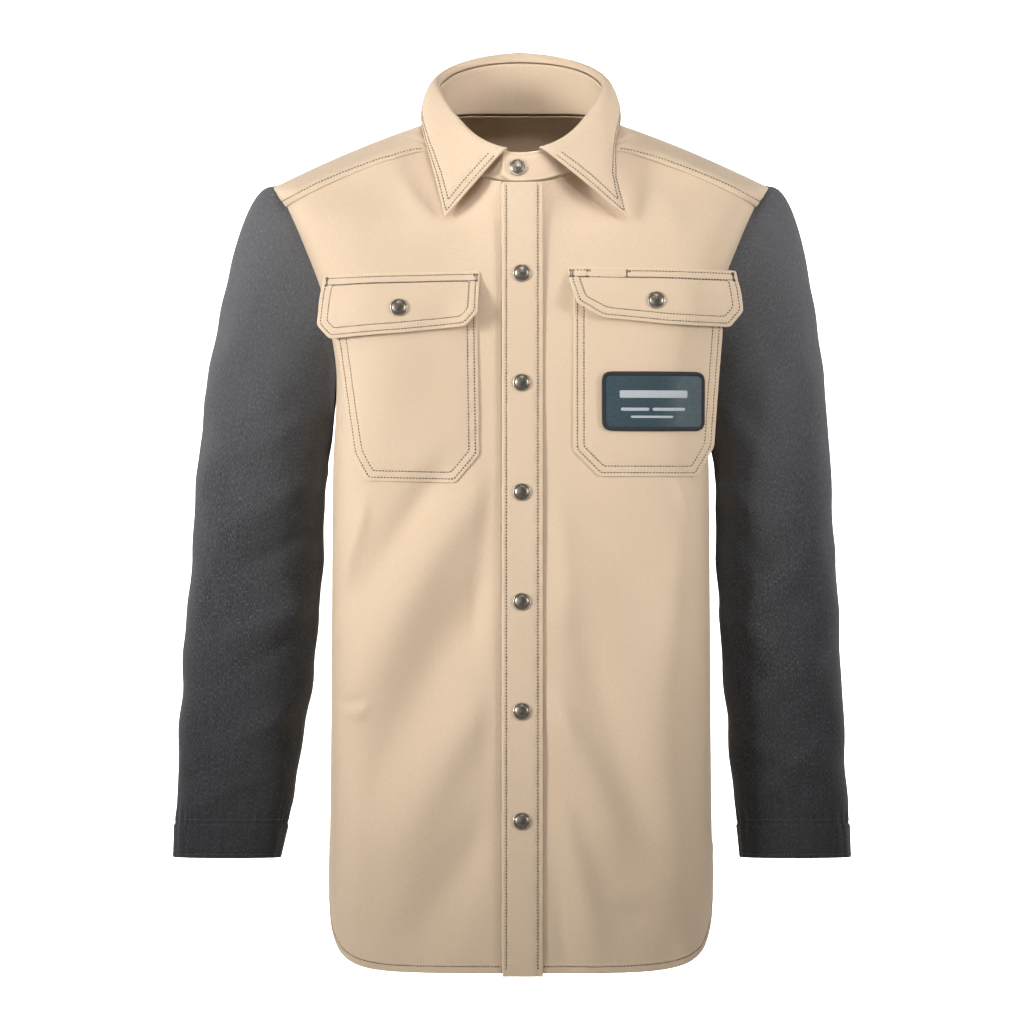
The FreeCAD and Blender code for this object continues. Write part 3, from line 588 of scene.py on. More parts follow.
# the last entry sets how far the painted highlight lightens the upper sleeves
denimLook = {"dark": (0.016, 0.016, 0.018, 1), "mid": (0.050, 0.050, 0.053, 1),
             "light": (0.26, 0.26, 0.27, 1),
             "fleck": 0.62, "sheen": 0.35, "paintedTopLight": 0.3}
metalLook = {"dark": (0.11, 0.09, 0.07, 1), "mid": (0.27, 0.235, 0.185, 1), "light": (0.55, 0.50, 0.42, 1),
             "rough": 0.34}
canvas = duckCanvas("duckCanvas", canvasLook)
canvasInsidePaintedLight = duckCanvas("duckCanvasInside", insidePaintedLightLook)
denim = denimCloth("charcoalDenim", denimLook)
darkThread = threadCloth("charcoalThread", (0.018, 0.017, 0.018, 1), (0.085, 0.08, 0.08, 1), 2400)
tackThread = threadCloth("tackThread", (0.012, 0.012, 0.014, 1), (0.05, 0.048, 0.05, 1), 2600)
patchSatin = threadCloth("tealSatin", (0.010, 0.026, 0.034, 1), (0.032, 0.070, 0.086, 1), 1.0, 0.55,
                         (260, 260, 3600))
patchEdge = threadCloth("merrowThread", (0.004, 0.004, 0.006, 1), (0.020, 0.020, 0.026, 1), 3000, 0.75)
patchMark = threadCloth("patchSilverThread", (0.30, 0.33, 0.35, 1), (0.52, 0.55, 0.57, 1), 2600, 0.6)
snapMetal = antiqueMetal("antiqueSnap", metalLook)
innerMetal = antiqueMetal("snapInside", dict(metalLook, rough=0.42))
print("materials made")


def settle(piece, body, slot, *replaced):
    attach(piece, body)
    if replaced:
        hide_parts(*replaced)
    return piece


# torso panels
frontPanelLook = {"thick": 1.5, "hem": 8.0, "hemRise": 0.7, "right": -17.9, "left": 13.2}


def frontHem(share):
    return 3.0 + 112.0 * share ** 4


def frontPanelSurface(side, innerX):
    def surface(sShare, tShare):
        last = math.pi / 2
        top = np.full(sShare.shape, 738.0)
        for _ in range(14):
            x = edgeX(top) * roundX(mix(angleAt(abs(innerX), top), last, sShare))
            top = frontNeckline(x) + mix(-1.2, 7.0, smooth((x - 70) / 12)) * smooth((225 - x) / 12)
        h = mix(frontHem(sShare), top, tShare)
        x, y = frontPoint(mix(angleAt(abs(innerX), h), last, sShare), h)
        return np.stack([side * x, y - frontFold(side * x, h), h], -1)

    return surface


def groove(distance, at, depth=0.35, width=1.1):
    return -depth * np.exp(-((distance - at) / width) ** 2)


def pucker(points, distance, at, size=0.35, wave=9.0):      # small ripples that a stitched edge gathers
    phase = points[..., 0] / wave * 2.1 + points[..., 2] / wave * 2.7
    return size * np.sin(phase + 1.7 * np.sin(phase * 0.37)) * np.exp(-((distance - at) / 5.0) ** 2)


def frontPanelRelief(points, distance, gaps):
    hem = gaps["t0"]
    fold = frontPanelLook["hemRise"] * (1 - smooth((hem - frontPanelLook["hem"]) / 0.9))
    return fold + groove(hem, 6.8, 0.5) + pucker(points, hem, 7.0, 0.45, 11.0) * smooth(gaps["s0"] / 6)


rows = {}       # every row of stitches, by body


def addRow(body, points, out=(0, -0.35, 0.1)):       # out lifts the thread out of its groove
    rows.setdefault(body, []).append(np.asarray(points, float) + np.array(out))


# the line on a grid of points where a distance that grows with t reaches a value
def rowAt(outer, distances, value):
    line = []
    for i in range(len(outer)):
        line.append([np.interp(value, distances[i], outer[i, :, k]) for k in range(3)])
    return np.array(line)


for side, sideName in ((1, "left"), (-1, "right")):
    innerX = frontPanelLook[sideName]
    panel, outer = clothGrid(sideName + "FrontCloth", frontPanelSurface(side, innerX),
                             edgeSteps(110, 200, 1.0),
                             np.unique(np.concatenate([edgeSteps(230, 720, 1.0),
                                                       np.linspace(3, 12, 14) / 720])),
                             frontPanelLook["thick"], side=side, relief=frontPanelRelief, material=canvas)
    settle(panel, "torso", "canvas", sideName + "_front_panel")
    hemRow = rowAt(outer, arcLengths(outer, 1), 6.8)
    addRow("torso", hemRow[4:-3])
print("front panels made")

backLook = {"thick": 1.5, "lap": 7.0}


def backHem(share):
    return 2.0 + 113.0 * share ** 4


def backFold(x, h):
    calm = smooth((181 - np.abs(x)) / 40)
    down = smooth((700 - h) / 350)
    pull = 4.0 * np.sin(x / 27 + 0.5 * np.sin(h / 150)) * down
    pull = pull + 2.0 * np.sin(x / 16.5 + h / 130 + 1.0) * down
    drag = 2.2 * np.exp(-((np.abs(x) - 150 + (690 - h) * 0.35) / 22) ** 2) * smooth((h - 430) / 120)
    return calm * (pull * 1.3 + drag * 1.6)


def backSurface(sShare, tShare):
    angle = mix(-math.pi / 2, math.pi / 2, sShare)
    h = mix(backHem(np.abs(2 * sShare - 1)), 700 + backLook["lap"], tShare)
    x = edgeX(h) * roundX(np.abs(angle)) * np.sign(angle)
    edge = backEdgeY(h)
    y = edge + (backDepth(h) - edge) * roundY(angle)
    return np.stack([x, y + backFold(x, h), h], -1)


def backRelief(points, distance, gaps):
    hem = gaps["t0"]
    return 0.7 * (1 - smooth((hem - 8) / 0.9)) + groove(hem, 6.8, 0.5) + pucker(points, hem, 7.0, 0.45, 12.0)


back, backOuter = clothGrid("backCloth", backSurface, edgeSteps(170, 420, 1.0),
                            np.unique(np.concatenate([edgeSteps(190, 700, 1.0),
                                                      np.linspace(3, 12, 14) / 700])),
                            backLook["thick"], side=-1, relief=backRelief, material=canvas)
settle(back, "torso", "canvas", "back_panel")
addRow("torso", rowAt(backOuter, arcLengths(backOuter, 1), 6.8)[4:-4], (0, 0.35, 0))
print("back made")

# yoke and neckline
neckTurn, ridgeTurn, neckShare = math.radians(62), math.radians(104), 0.44
ridgeFrom = neckShare * (math.pi - ridgeTurn) / (math.pi - neckTurn)
shoulderTip = (232.0, 3.0, 735.0)


def ringShare(turn, power):
    return 1 - ((1 + np.cos(turn)) / 2) ** power


def neckline(turn):
    return np.stack([82 * np.sin(turn), -20 - 70 * np.cos(turn), 738 + 70 * ringShare(turn, 2)], -1)


def yokeStart(reach):
    turn = mix(math.pi, neckTurn, np.minimum(reach, neckShare) / neckShare)
    neck = neckline(turn)
    out = np.stack([neck[..., 0], neck[..., 1] + 20, np.zeros(turn.shape)], -1)
    neck = neck + out / np.maximum(np.linalg.norm(out, axis=-1, keepdims=True), 1e-6) * 1.2
    first = 82 * math.sin(neckTurn) + 1.5
    x = mix(first, float(edgeX(718)) - 0.2, np.clip((reach - neckShare) / (1 - neckShare), 0, 1))
    h = frontNeckline(x) + 0.5
    sx, sy = frontPoint(np.minimum(angleAt(x, h), lastAngle), h)
    return np.where((reach < neckShare)[..., None], neck, np.stack([sx, sy, h], -1))


def yokeSurface(sShare, tShare):
    across = 2 * sShare - 1
    reach = np.abs(across)
    angle = math.pi / 2 * reach
    h = 700.5
    edge = float(backEdgeY(h))
    bx = float(edgeX(h)) * roundX(angle)
    backFoldHere = backFold(bx, h)
    by = edge + (float(backDepth(h)) - edge) * roundY(angle) + backFoldHere
    back = np.stack([bx, by, np.full(sShare.shape, h)], -1)
    start = yokeStart(reach)
    neck = yokeStart(np.array([ridgeFrom]))[0]
    along = np.clip((reach - ridgeFrom) / (1 - ridgeFrom), 0, 1)
    bow = 3 * np.sin(math.pi * along)
    ridge = np.stack([mix(neck[k], shoulderTip[k], along) + (bow if k == 2 else 0) for k in range(3)], -1)
    onRidge = reach > ridgeFrom
    ridge = np.where(onRidge[..., None], ridge, start)
    fore = np.where(onRidge, 0.33 * smooth((reach - ridgeFrom) / (neckShare - ridgeFrom)), 0)
    a = tShare / np.maximum(fore, 1e-6) * math.pi / 2
    b = (tShare - fore) / (1 - fore) * math.pi / 2
    before = np.stack([mix(start[..., 0], ridge[..., 0], np.sin(a)),
                       mix(ridge[..., 1], start[..., 1], np.cos(a)),
                       mix(start[..., 2], ridge[..., 2], np.sin(a))], -1)
    after = np.stack([mix(ridge[..., 0], back[..., 0], 1 - np.cos(b)),
                      mix(ridge[..., 1], back[..., 1], np.sin(b)),
                      mix(back[..., 2], ridge[..., 2], np.cos(b))], -1)
    point = np.where((tShare < fore)[..., None], before, after)
    point[..., 0] *= np.where(across < 0, -1, 1)
    return point


def yokeRelief(points, distance, gaps):
    sag = -1.2 * np.exp(-((gaps["t0"] - 26) / 14) ** 2) * smooth((np.abs(points[..., 0]) - 90) / 30)
    sag = sag + groove(gaps["t0"], 6.5, 0.4) + groove(gaps["t1"], 6.5, 0.4)
    return sag + pucker(points, gaps["t0"], 7.0, 0.3)


yokeGrid = edgeSteps(230, 470, 1.0)
yokePiece, yokeOuter = clothGrid("yokeCloth", yokeSurface, yokeGrid, edgeSteps(110, 160, 1.0), 1.5, 1.5,
                                 relief=yokeRelief, material=canvas)
settle(yokePiece, "torso", "canvas", "yoke")
frontRow = rowAt(yokeOuter, arcLengths(yokeOuter, 1), 6.8)
backDistance = arcLengths(yokeOuter, 1)
backRow = rowAt(yokeOuter[:, ::-1], (backDistance[:, -1:] - backDistance)[:, ::-1], 6.8)
edgeCount = int(len(frontRow) * 0.265)
addRow("torso", frontRow[3:edgeCount])
addRow("torso", frontRow[-edgeCount:-3])
addRow("torso", backRow[3:-3], (0, 0.35, 0.1))


def liningSurface(sShare, tShare):
    return yokeSurface(mix(0.02, 0.98, sShare), mix(0.0, 0.97, tShare))


# the lining wears the lighter copy of the canvas, painted light for the shaded inside of the neck
lining, _ = clothGrid("yokeLining", liningSurface, edgeSteps(120, 450, 1.0), edgeSteps(50, 150, 1.0), 1.0,
                      -2.2,
                      material=canvasInsidePaintedLight)
settle(lining, "torso", "canvas_inside", "yoke_lining")
print("yoke made")

# collar
standUnder, standOver, collarRise = 0.20, -2 * math.pi - 0.21, 5.2
leafStart, leafEnd = -0.15, -2 * math.pi + 0.2


def outward(turn):
    return np.stack([np.sin(turn), -np.cos(turn), np.zeros(np.shape(turn))], -1)


def standTop(turn, above=0.0):
    arch = smooth((0.35 - np.cos(turn)) / 0.8) * (6.0 - 14.0 * np.sin(turn) ** 2)
    return np.stack([76 * np.sin(turn), -20 - 65 * np.cos(turn), 766 + 84 * ringShare(turn, 2.2) + above
                     + arch], -1)


def standSurface(sShare, tShare):
    turn = mix(standUnder, standOver, sShare)
    lift = smooth((sShare - 0.86) / 0.1)
    low = neckline(turn)
    low[..., 2] += 0.3 + 0.6 * lift
    round_ = 3.5 * smooth((sShare - 0.985) / 0.015) * (2 * tShare - 1) ** 2 * np.sign(0.5 - tShare)
    lifted = outward(turn) * (collarRise * lift)[..., None]
    point = low * (1 - tShare)[..., None] + standTop(turn) * tShare[..., None] + lifted
    point[..., 2] += round_
    return point


def standRelief(points, distance, gaps):
    return groove(distance, 4.0, 0.3) + 0.25 * np.sin(points[..., 0] / 11) * smooth(distance / 10)


stand, _ = clothGrid("standCloth", standSurface, edgeSteps(220, 480, 1.2), edgeSteps(24, 40, 1.2), 2.0,
                     side=-1,
                     rounded=1.2, material=canvas, relief=standRelief)
settle(stand, "torso", "canvas", "collar_stand")

leafEdgeX = {1: softCurve((0.16, 90), (0.32, 88), (0.47, 93), (0.6, 92), (0.78, 62), (1, 0)),
             -1: softCurve((0.16, 79), (0.32, 87), (0.47, 93), (0.6, 92), (0.78, 62), (1, 0))}
leafEdgeY = softCurve((0.16, -82), (0.32, -66), (0.47, -30), (0.6, 8), (0.78, 52), (1, 72))
leafEdgeH = softCurve((0.16, 740), (0.32, 770), (0.47, 799), (0.6, 814), (0.78, 816), (1, 814))
leafRise = softCurve((0, 3), (0.3, 7), (0.6, 9), (1, 15))
collarTips = {1: (99.5, 705.0), -1: (71.0, 705.0)}


def leafSurface(sShare, tShare):
    turn = mix(leafStart, leafEnd, sShare)
    share = 1 - np.abs(2 * sShare - 1)
    front = np.clip(1 - share / 0.25, 0, 1)
    out = outward(turn)
    seam = standTop(turn, 1.1) + out * (0.9 + 8.7 * smooth(front))[..., None]
    edges = []
    for side in (-1, 1):
        tipX, tipH = collarTips[side]
        tipY = float(frontY(np.array(tipX), np.array(tipH))) - 8
        along = np.clip(share / 0.16, 0, 1)
        near = np.stack([mix(tipX, float(leafEdgeX[side](0.16)), along), mix(tipY, -82.0, along),
                         mix(tipH, 740.0, along)], -1)
        far = np.stack([leafEdgeX[side](share), leafEdgeY(share), leafEdgeH(share)], -1)
        edge = np.where((share < 0.16)[..., None], near, far)
        edge[..., 0] *= side
        edges.append(edge)
    edge = np.where((sShare < 0.5)[..., None], edges[0], edges[1])
    up = np.stack([sShare * 0, sShare * 0, leafRise(share)], -1)
    width = mix(11.0, 6.0, front)[..., None]
    t = tShare[..., None]
    return (seam * (1 - t) ** 3 + (seam + up) * (3 * t * (1 - t) ** 2)
            + (seam + up + out * width) * (3 * t * t * (1 - t))
            + edge * t ** 3)


def leafRelief(points, distance, gaps):
    rim = np.min([gaps["s0"], gaps["s1"], gaps["t1"]], axis=0)
    crown = 1.3 * smooth(rim / 26) * smooth((gaps["t0"] - 14) / 30)
    crown = crown + groove(rim, 4.3, 0.4) + groove(rim, 10.2, 0.4)
    return crown + pucker(points, rim, 7.0, 0.28, 8.0) * smooth(rim / 2)


leaf, leafOuter = clothGrid("collarCloth", leafSurface, edgeSteps(330, 520, 1.3), edgeSteps(80, 95, 1.3),
                            2.5,
                            rounded=1.3, relief=leafRelief, material=canvas)
settle(leaf, "torso", "canvas", "collar_leaf", "under_collar")


def pointAt(value, distances, points):
    return [np.interp(value, distances, points[:, k]) for k in range(3)]


# stitch lines that run along the front edges and the outer edge of a leaf
def rimRows(outer, gapList, tClear=6.0):
    alongS, alongT = arcLengths(outer, 0), arcLengths(outer, 1)
    fromEnd = alongT[:, -1:] - alongT
    lastS = alongS[-1:] - alongS
    rowCount, columnCount = outer.shape[:2]
    for gap in gapList:
        first = np.array([pointAt(gap, alongS[:, j], outer[:, j]) for j in range(columnCount)])
        left = np.array([np.interp(gap, alongS[:, j], fromEnd[:, j]) for j in range(columnCount)])
        second = np.array([pointAt(gap, lastS[::-1, j], outer[::-1, j]) for j in range(columnCount)])
        right = np.array([np.interp(gap, lastS[::-1, j], fromEnd[::-1, j]) for j in range(columnCount)])
        across = np.array([pointAt(gap, fromEnd[i, ::-1], outer[i, ::-1]) for i in range(rowCount)])
        sGap = np.array([np.interp(gap, fromEnd[i, ::-1], alongS[i, ::-1]) for i in range(rowCount)])
        eGap = np.array([np.interp(gap, fromEnd[i, ::-1], lastS[i, ::-1]) for i in range(rowCount)])
        start = first[(left > gap) & (alongT.min(0) > tClear)]
        end = second[(right > gap) & (alongT.min(0) > tClear)]
        yield np.concatenate([start, across[(sGap > gap) & (eGap > gap)], end[::-1]])


for line in rimRows(leafOuter, (4.3, 10.2), 14.0):
    addRow("torso", line)
print("collar made")

# front plackets
placketFree, placketSewn = -17.4, 20.3
snapX, snapTop, snapPitch, snapCount = 0.7, 653.0, 101.8, 6


def stripSurface(x0, x1, low, high):
    def surface(sShare, tShare):
        h = mix(low, high, tShare)
        return np.stack([mix(x0, x1, sShare), centreY(h), h], -1)
    return surface


def placketRelief(points, distance, gaps):
    x, h = points[..., 0], points[..., 2]
    nearSnap = np.min([np.hypot(x - snapX, h - (snapTop - snapPitch * i)) for i in range(snapCount)], axis=0)
    away = smooth((nearSnap - 9) / 12)
    ripple = 0.35 * np.sin(h / 4.3 + 1.5 * np.sin(h / 19)) * np.exp(-((x - 15.7) / 3.0) ** 2) \
        + 0.30 * np.sin(h / 4.9 + 1.9 * np.sin(h / 23)) * np.exp(-((x + 13.7) / 3.0) ** 2)
    return groove(x, 15.7, 0.45) + groove(x, -13.7, 0.45) + ripple + away * 0.35 * np.sin(h / 37 + x / 9)


placket, placketOuter = clothGrid("frontPlacketCloth", stripSurface(placketFree, placketSewn, 0.0, 738.0),
                                  edgeSteps(40, 38, 1.0), edgeSteps(420, 733, 1.0), 1.5,
                                  offset=lambda sShare, tShare, p: 3.0
                                  + 1.4 * smooth((placketSewn - p[..., 0]) / 11.0),
                                  relief=placketRelief, material=canvas)
settle(placket, "placket", "canvas", "front_placket")
under, _ = clothGrid("underPlacketCloth", stripSurface(-18.4, 12.6, 3.0, 736.5), edgeSteps(16, 31, 1.0),
                     edgeSteps(160, 733, 1.0), 1.5, material=canvas)
settle(under, "torso", "canvas", "under_placket")


def columnAt(outer, x):
    return np.array([[np.interp(x, outer[:, j, 0], outer[:, j, k]) for k in range(3)]
                     for j in range(outer.shape[1])])


for x in (-13.7, 15.7):
    line = columnAt(placketOuter, x)
    addRow("placket", line[(line[:, 2] > 7) & (line[:, 2] < 734)])

# pockets and flaps, as (x, height) on the wearer's left
pocketOutlines = {1: [(49, 638), (49, 488), (73, 464), (163, 464), (179, 492), (187, 598), (187, 638)],
                  -1: [(41, 632), (39, 484), (61, 458), (143, 460), (156, 485), (172, 596), (172, 632)]}
flapOutlines = {1: [(43, 659), (45, 646), (53, 624), (77, 611), (137, 605), (190, 604), (203, 619),
                    (200, 656)],
                -1: [(38, 655), (41, 616), (53, 603), (112, 597), (173, 593), (186, 606), (183, 651)]}
flapSnaps = {1: (125.7, 626.5), -1: (114.0, 620.0)}
flapLook = {"rootOffset": 1.8, "snapOffset": 7.5, "drop": 26.0, "curl": 5.5, "sag": 1.1}


def pocketPlace(side):
    def place(x, h, distance, half):
        near = np.hypot(x - flapSnaps[side][0], h - flapSnaps[side][1])
        puff = 1.55 + 1.05 * smooth(distance / 24) + 0.25 * np.sin(x / 17 + h / 29)
        ripple = 0.28 * np.sin(x / 3.9 + h / 4.4) * np.exp(-((distance - 6) / 4.5) ** 2)
        dips = groove(distance, 3.5, 0.4) + groove(distance, 9.6, 0.4)
        return onFront(side * x, h, puff + ripple + dips + half, 0.35 + 0.65 * smooth((near - 14) / 22))
    return place


def flapPlace(side):
    corners = np.array(flapOutlines[side], float)
    top, low = corners[:, 1].max(), corners[:, 1].min()
    inner, outer = corners[:, 0].min(), corners[:, 0].max()

    def place(x, h, distance, half):
        edge = np.interp(x, [inner, outer], [corners[0, 1], corners[-1, 1]])
        drop = edge - h
        near = np.hypot(x - flapSnaps[side][0], h - flapSnaps[side][1])
        lift = mix(flapLook["rootOffset"], flapLook["snapOffset"], smooth(drop / flapLook["drop"]))
        away = smooth((near - 11) / 30)
        curlIn = np.exp(-((x - inner - 6) / 17) ** 2) * smooth((drop - 16) / 34)
        curlOut = np.exp(-((x - outer + 4) / 15) ** 2) * smooth((drop - 20) / 34)
        wave = np.sin((x - inner) / (outer - inner) * 9.5 + 0.8) * smooth((drop - 22) / 26)
        lift = lift + away * (flapLook["curl"] * (curlIn * (1.15 if side > 0 else 0.85) + 0.55 * curlOut)
                              + flapLook["sag"] * wave + 0.5 * np.sin(x / 9 + h / 13))
        seams = groove(distance, 3.5, 0.4) + groove(distance, 9.6, 0.4) * smooth((drop - 10) / 6) \
            + groove(drop, 3.0, 0.4) + groove(drop, 9.0, 0.4)
        ripple = 0.24 * np.sin(x / 3.4 + h / 4.1) * np.exp(-((distance - 6) / 5) ** 2) * away
        return onFront(side * x, h, lift + seams + ripple + half, 0.35 + 0.65 * smooth((near - 14) / 22))
    return place


def insetPath(corners, distance, place, half, keep, step=1.5, radius=2.5):
    path = softOutline(insetCorners(corners, distance), radius, step)
    path = np.concatenate([path, path[:1]])
    far, _ = outlineDistance(path, softOutline(np.asarray(corners, float), radius, step))
    points = place(path[:, 0], path[:, 1], far, np.full(len(path), half))
    ok = keep(path[:, 0], path[:, 1])
    if ok.all():
        return [points]
    turn = int(np.argmin(ok))
    ok, points = np.roll(ok[:-1], -turn), np.roll(points[:-1], -turn, 0)
    pieces, start = [], None
    for i in range(len(ok) + 1):
        inside = i < len(ok) and ok[i]
        if inside and start is None:
            start = i
        if not inside and start is not None:
            if i - start > 2:
                pieces.append(points[start:i])
            start = None
    return pieces


tacks = []      # bar tacks: body, centre, direction, length, outward


def addTack(body, place, x, h, dx, dh, length=7.0):
    a = place(np.array([x - dx * length / 2]), np.array([h - dh * length / 2]), np.array([4.0]),
              np.array([0.75]))[0]
    b = place(np.array([x + dx * length / 2]), np.array([h + dh * length / 2]), np.array([4.0]),
              np.array([0.75]))[0]
    tacks.append((body, a, b))


for side, sideName in ((1, "left"), (-1, "right")):
    corners, flapCorners = pocketOutlines[side], flapOutlines[side]
    cutPlace, flapAt = pocketPlace(side), flapPlace(side)

    def sided(place, side=side):
        return lambda x, h, d, half: place(side * x, h, d, half)

    mirror = [(side * x, h) for x, h in corners]
    piece = cutCloth(sideName + "PocketCloth", mirror, sided(cutPlace), 1.5, step=2.0, radius=3.0,
                     material=canvas)
    settle(piece, "torso", "canvas", sideName + "_pocket")
    topLine = max(h for x, h in corners) - 1.5
    for inset in (3.5, 9.6):
        for line in insetPath(corners, inset, cutPlace, 0.75, lambda x, h: h < topLine - 12):
            addRow("torso", line)

    mirror = [(side * x, h) for x, h in flapCorners]
    flap = cutCloth(sideName + "FlapCloth", mirror, sided(flapAt), 1.8, step=1.8, radius=2.5,
                    material=canvas)
    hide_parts(sideName + "_pocket_flap")
    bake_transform(flap)
    fullTop = np.array(flapCorners[0]), np.array(flapCorners[-1])

    def topEdge(x):
        return np.interp(x, [fullTop[0][0], fullTop[1][0]], [fullTop[0][1], fullTop[1][1]])

    for inset in (3.5, 9.6):
        for line in insetPath(flapCorners, inset, flapAt, 0.9, lambda x, h: topEdge(x) - h > 9.5):
            addRow(sideName + "_flap", line)
    for drop in (3.0, 9.0):
        xs = np.arange(fullTop[0][0] + 3, fullTop[1][0] - 2, 1.5)
        for low, high in (((0, 63), (100, 400)) if side > 0 else ((0, 400),)):
            part = xs[(xs > low) & (xs < high)]
            if len(part) > 3:
                hs = topEdge(part) - drop
                addRow("torso", flapAt(part, hs, np.full(len(part), drop), np.full(len(part), 0.9)))
    for x in ((fullTop[0][0] + 4, 63, 100, fullTop[1][0] - 5)
              if side > 0 else (fullTop[0][0] + 4, fullTop[1][0] - 5)):
        addTack("torso", flapAt, x, topEdge(x) - 6.0, 0, 1, 8.0)
print("pockets made")

# woven patch on the left pocket
patchLook = {"x": 122.0, "h": 534.0, "width": 93.0, "height": 55.0, "corner": 7.5, "border": 3.6,
             "base": 3.9}


def patchCorners(inset=0.0):
    w, h = patchLook["width"] / 2 - inset, patchLook["height"] / 2 - inset
    x, y = patchLook["x"], patchLook["h"]
    return [(x - w, y - h), (x + w, y - h), (x + w, y + h), (x - w, y + h)]


def patchAt(lift):
    def place(x, h, distance, half):
        return onFront(x, h, lift + half + 0.25 * np.sin(x / 21 + h / 15), 1.0)
    return place


ground = cutCloth("patchGroundCloth", patchCorners(1.2), patchAt(patchLook["base"] + 0.5), 1.0, step=2.5,
                  radius=7.0,
                  material=patchSatin)
settle(ground, "torso", "patch_satin", "patch_ground")


# a closed rope of slanting threads
def ropeAlong(name, path, wide, tall, pitch, depth, material, around=10):
    path = np.asarray(path, float)
    length = np.concatenate([[0], np.cumsum(np.linalg.norm(np.diff(path, axis=0), axis=1))])
    count = int(length[-1] / pitch) * 5
    at = np.linspace(0, length[-1], count, endpoint=False)
    centre = np.stack([np.interp(at, length, path[:, k]) for k in range(3)], -1)
    ahead = np.roll(centre, -1, 0) - np.roll(centre, 1, 0)
    ahead /= np.linalg.norm(ahead, axis=1, keepdims=True)
    out = np.array([[0.0, -1.0, 0.0]])
    across = np.cross(ahead, out)
    across /= np.linalg.norm(across, axis=1, keepdims=True)
    turn = np.arange(around) / around * 2 * math.pi
    slant = at[:, None] / pitch * 2 * math.pi + turn[None, :] * 1.4
    swell = 1 + depth * np.cos(slant)
    points = centre[:, None] + across[:, None] * (np.cos(turn) * wide * swell)[..., None] \
        + out[:, None] * (np.sin(turn) * tall * swell)[..., None]
    index = np.arange(count * around).reshape(count, around)
    a, b = index, np.roll(index, -1, 0)
    faces = np.stack([a, b, np.roll(b, -1, 1), np.roll(a, -1, 1)], -1).reshape(-1, 4)
    uv = np.stack([np.repeat(at / 1000, around), np.tile(turn / 6.283 * 0.01, count)], -1)
    return meshFrom(name, points.reshape(-1, 3), faces.tolist(), uv, np.full(count * around, 9.0), material)


edgePath = softOutline(patchCorners(1.9), 7.0, 1.0)
edgePath = np.concatenate([edgePath, edgePath[:1]])
ropeLine = patchAt(patchLook["base"] + 0.9)(edgePath[:, 0], edgePath[:, 1], 0, 0)
border = ropeAlong("patchBorderRope", ropeLine, 2.0, 1.1, 1.0, 0.09, patchEdge)
settle(border, "torso", "patch_thread", "patch_border")
patchBars = ((0, 6.5, 60, 7.0), (-16, -7.5, 26, 3.0), (14, -7.5, 28, 3.0), (-1, -14.5, 38, 2.2))
for k, (dx, dh, wide, tall) in enumerate(patchBars):
    x, h = patchLook["x"] + dx, patchLook["h"] + dh
    bar = [(x - wide / 2, h - tall / 2), (x + wide / 2, h - tall / 2),
           (x + wide / 2, h + tall / 2), (x - wide / 2, h + tall / 2)]
    mark = cutCloth("patchBar" + str(k), bar, patchAt(patchLook["base"] + 1.05), 0.5, step=2.0, radius=1.0,
                    rounded=0.3, material=patchMark)
    settle(mark, "torso", "patch_thread")
print("patch made")

# snap caps: one turned shape, set on points by geometry nodes
capLook = {"radius": 8.2, "height": 3.0, "rim": 6.75, "turns": 72}


def capMesh(look):
    r, top = look["radius"], look["height"]
    profile = [(0, 0), (r - 0.9, 0), (r - 0.35, 0.22), (r, 0.8), (r - 0.12, 1.25), (r - 0.5, 1.6),
               (r - 1.0, 1.68),
               (look["rim"] - 0.05, 1.42), (look["rim"] - 0.35, 1.45), (look["rim"] - 0.8, 1.72),
               (5.2, 2.15), (3.9, 2.5),
               (2.6, 2.74), (1.3, 2.9), (0.6, top - 0.02), (0, top)]
    turns = look["turns"]
    angle = np.arange(turns) / turns * 2 * math.pi
    points, faces = [(0, 0, 0)], []
    for radius, height in profile[1:-1]:
        points += [(radius * math.cos(a), radius * math.sin(a), height) for a in angle]
    points.append((0, 0, top))
    last = len(points) - 1
    ring = lambda k, i: 1 + (k * turns) + i % turns
    for i in range(turns):
        faces.append((0, ring(0, i + 1), ring(0, i)))
        faces.append((last, ring(len(profile) - 3, i), ring(len(profile) - 3, i + 1)))
        for k in range(len(profile) - 3):
            faces.append((ring(k, i), ring(k, i + 1), ring(k + 1, i + 1), ring(k + 1, i)))
    mesh = bpy.data.meshes.new("snapCap")
    mesh.from_pydata([tuple(c / 1000 for c in p) for p in points], [], faces)
    mesh.polygons.foreach_set("use_smooth", [True] * len(mesh.polygons))
    mesh.materials.append(snapMetal)
    return mesh


capShape = bpy.data.objects.new("snapCapShape", capMesh(capLook))


def nodeGroup(name):
    group = bpy.data.node_groups.new(name, "GeometryNodeTree")
    group.interface.new_socket("Geometry", in_out="INPUT", socket_type="NodeSocketGeometry")
    group.interface.new_socket("Geometry", in_out="OUTPUT", socket_type="NodeSocketGeometry")
    return group, group.nodes.new("NodeGroupInput"), group.nodes.new("NodeGroupOutput")


def groupInput(group, name, kind, value=None):
    made = group.interface.new_socket(name, in_out="INPUT", socket_type=kind)
    if value is not None:
        made.default_value = value
    return made.identifier


def bakeNodes(holder, group, values, name, material):
    modifier = holder.modifiers.new("build", "NODES")
    modifier.node_group = group
    for key, value in values.items():
        modifier[key] = value
    bpy.context.view_layer.update()
    mesh = bpy.data.meshes.new_from_object(holder.evaluated_get(bpy.context.evaluated_depsgraph_get()))
    mesh.name = name
    if not mesh.materials:
        mesh.materials.append(material)
    made = bpy.data.objects.new(name, mesh)
    bpy.context.collection.objects.link(made)
    bpy.data.objects.remove(holder)
    return made


def frameOf(value):
    return [float(c) for c in np.asarray(toFrame(np.asarray(value, float)))]


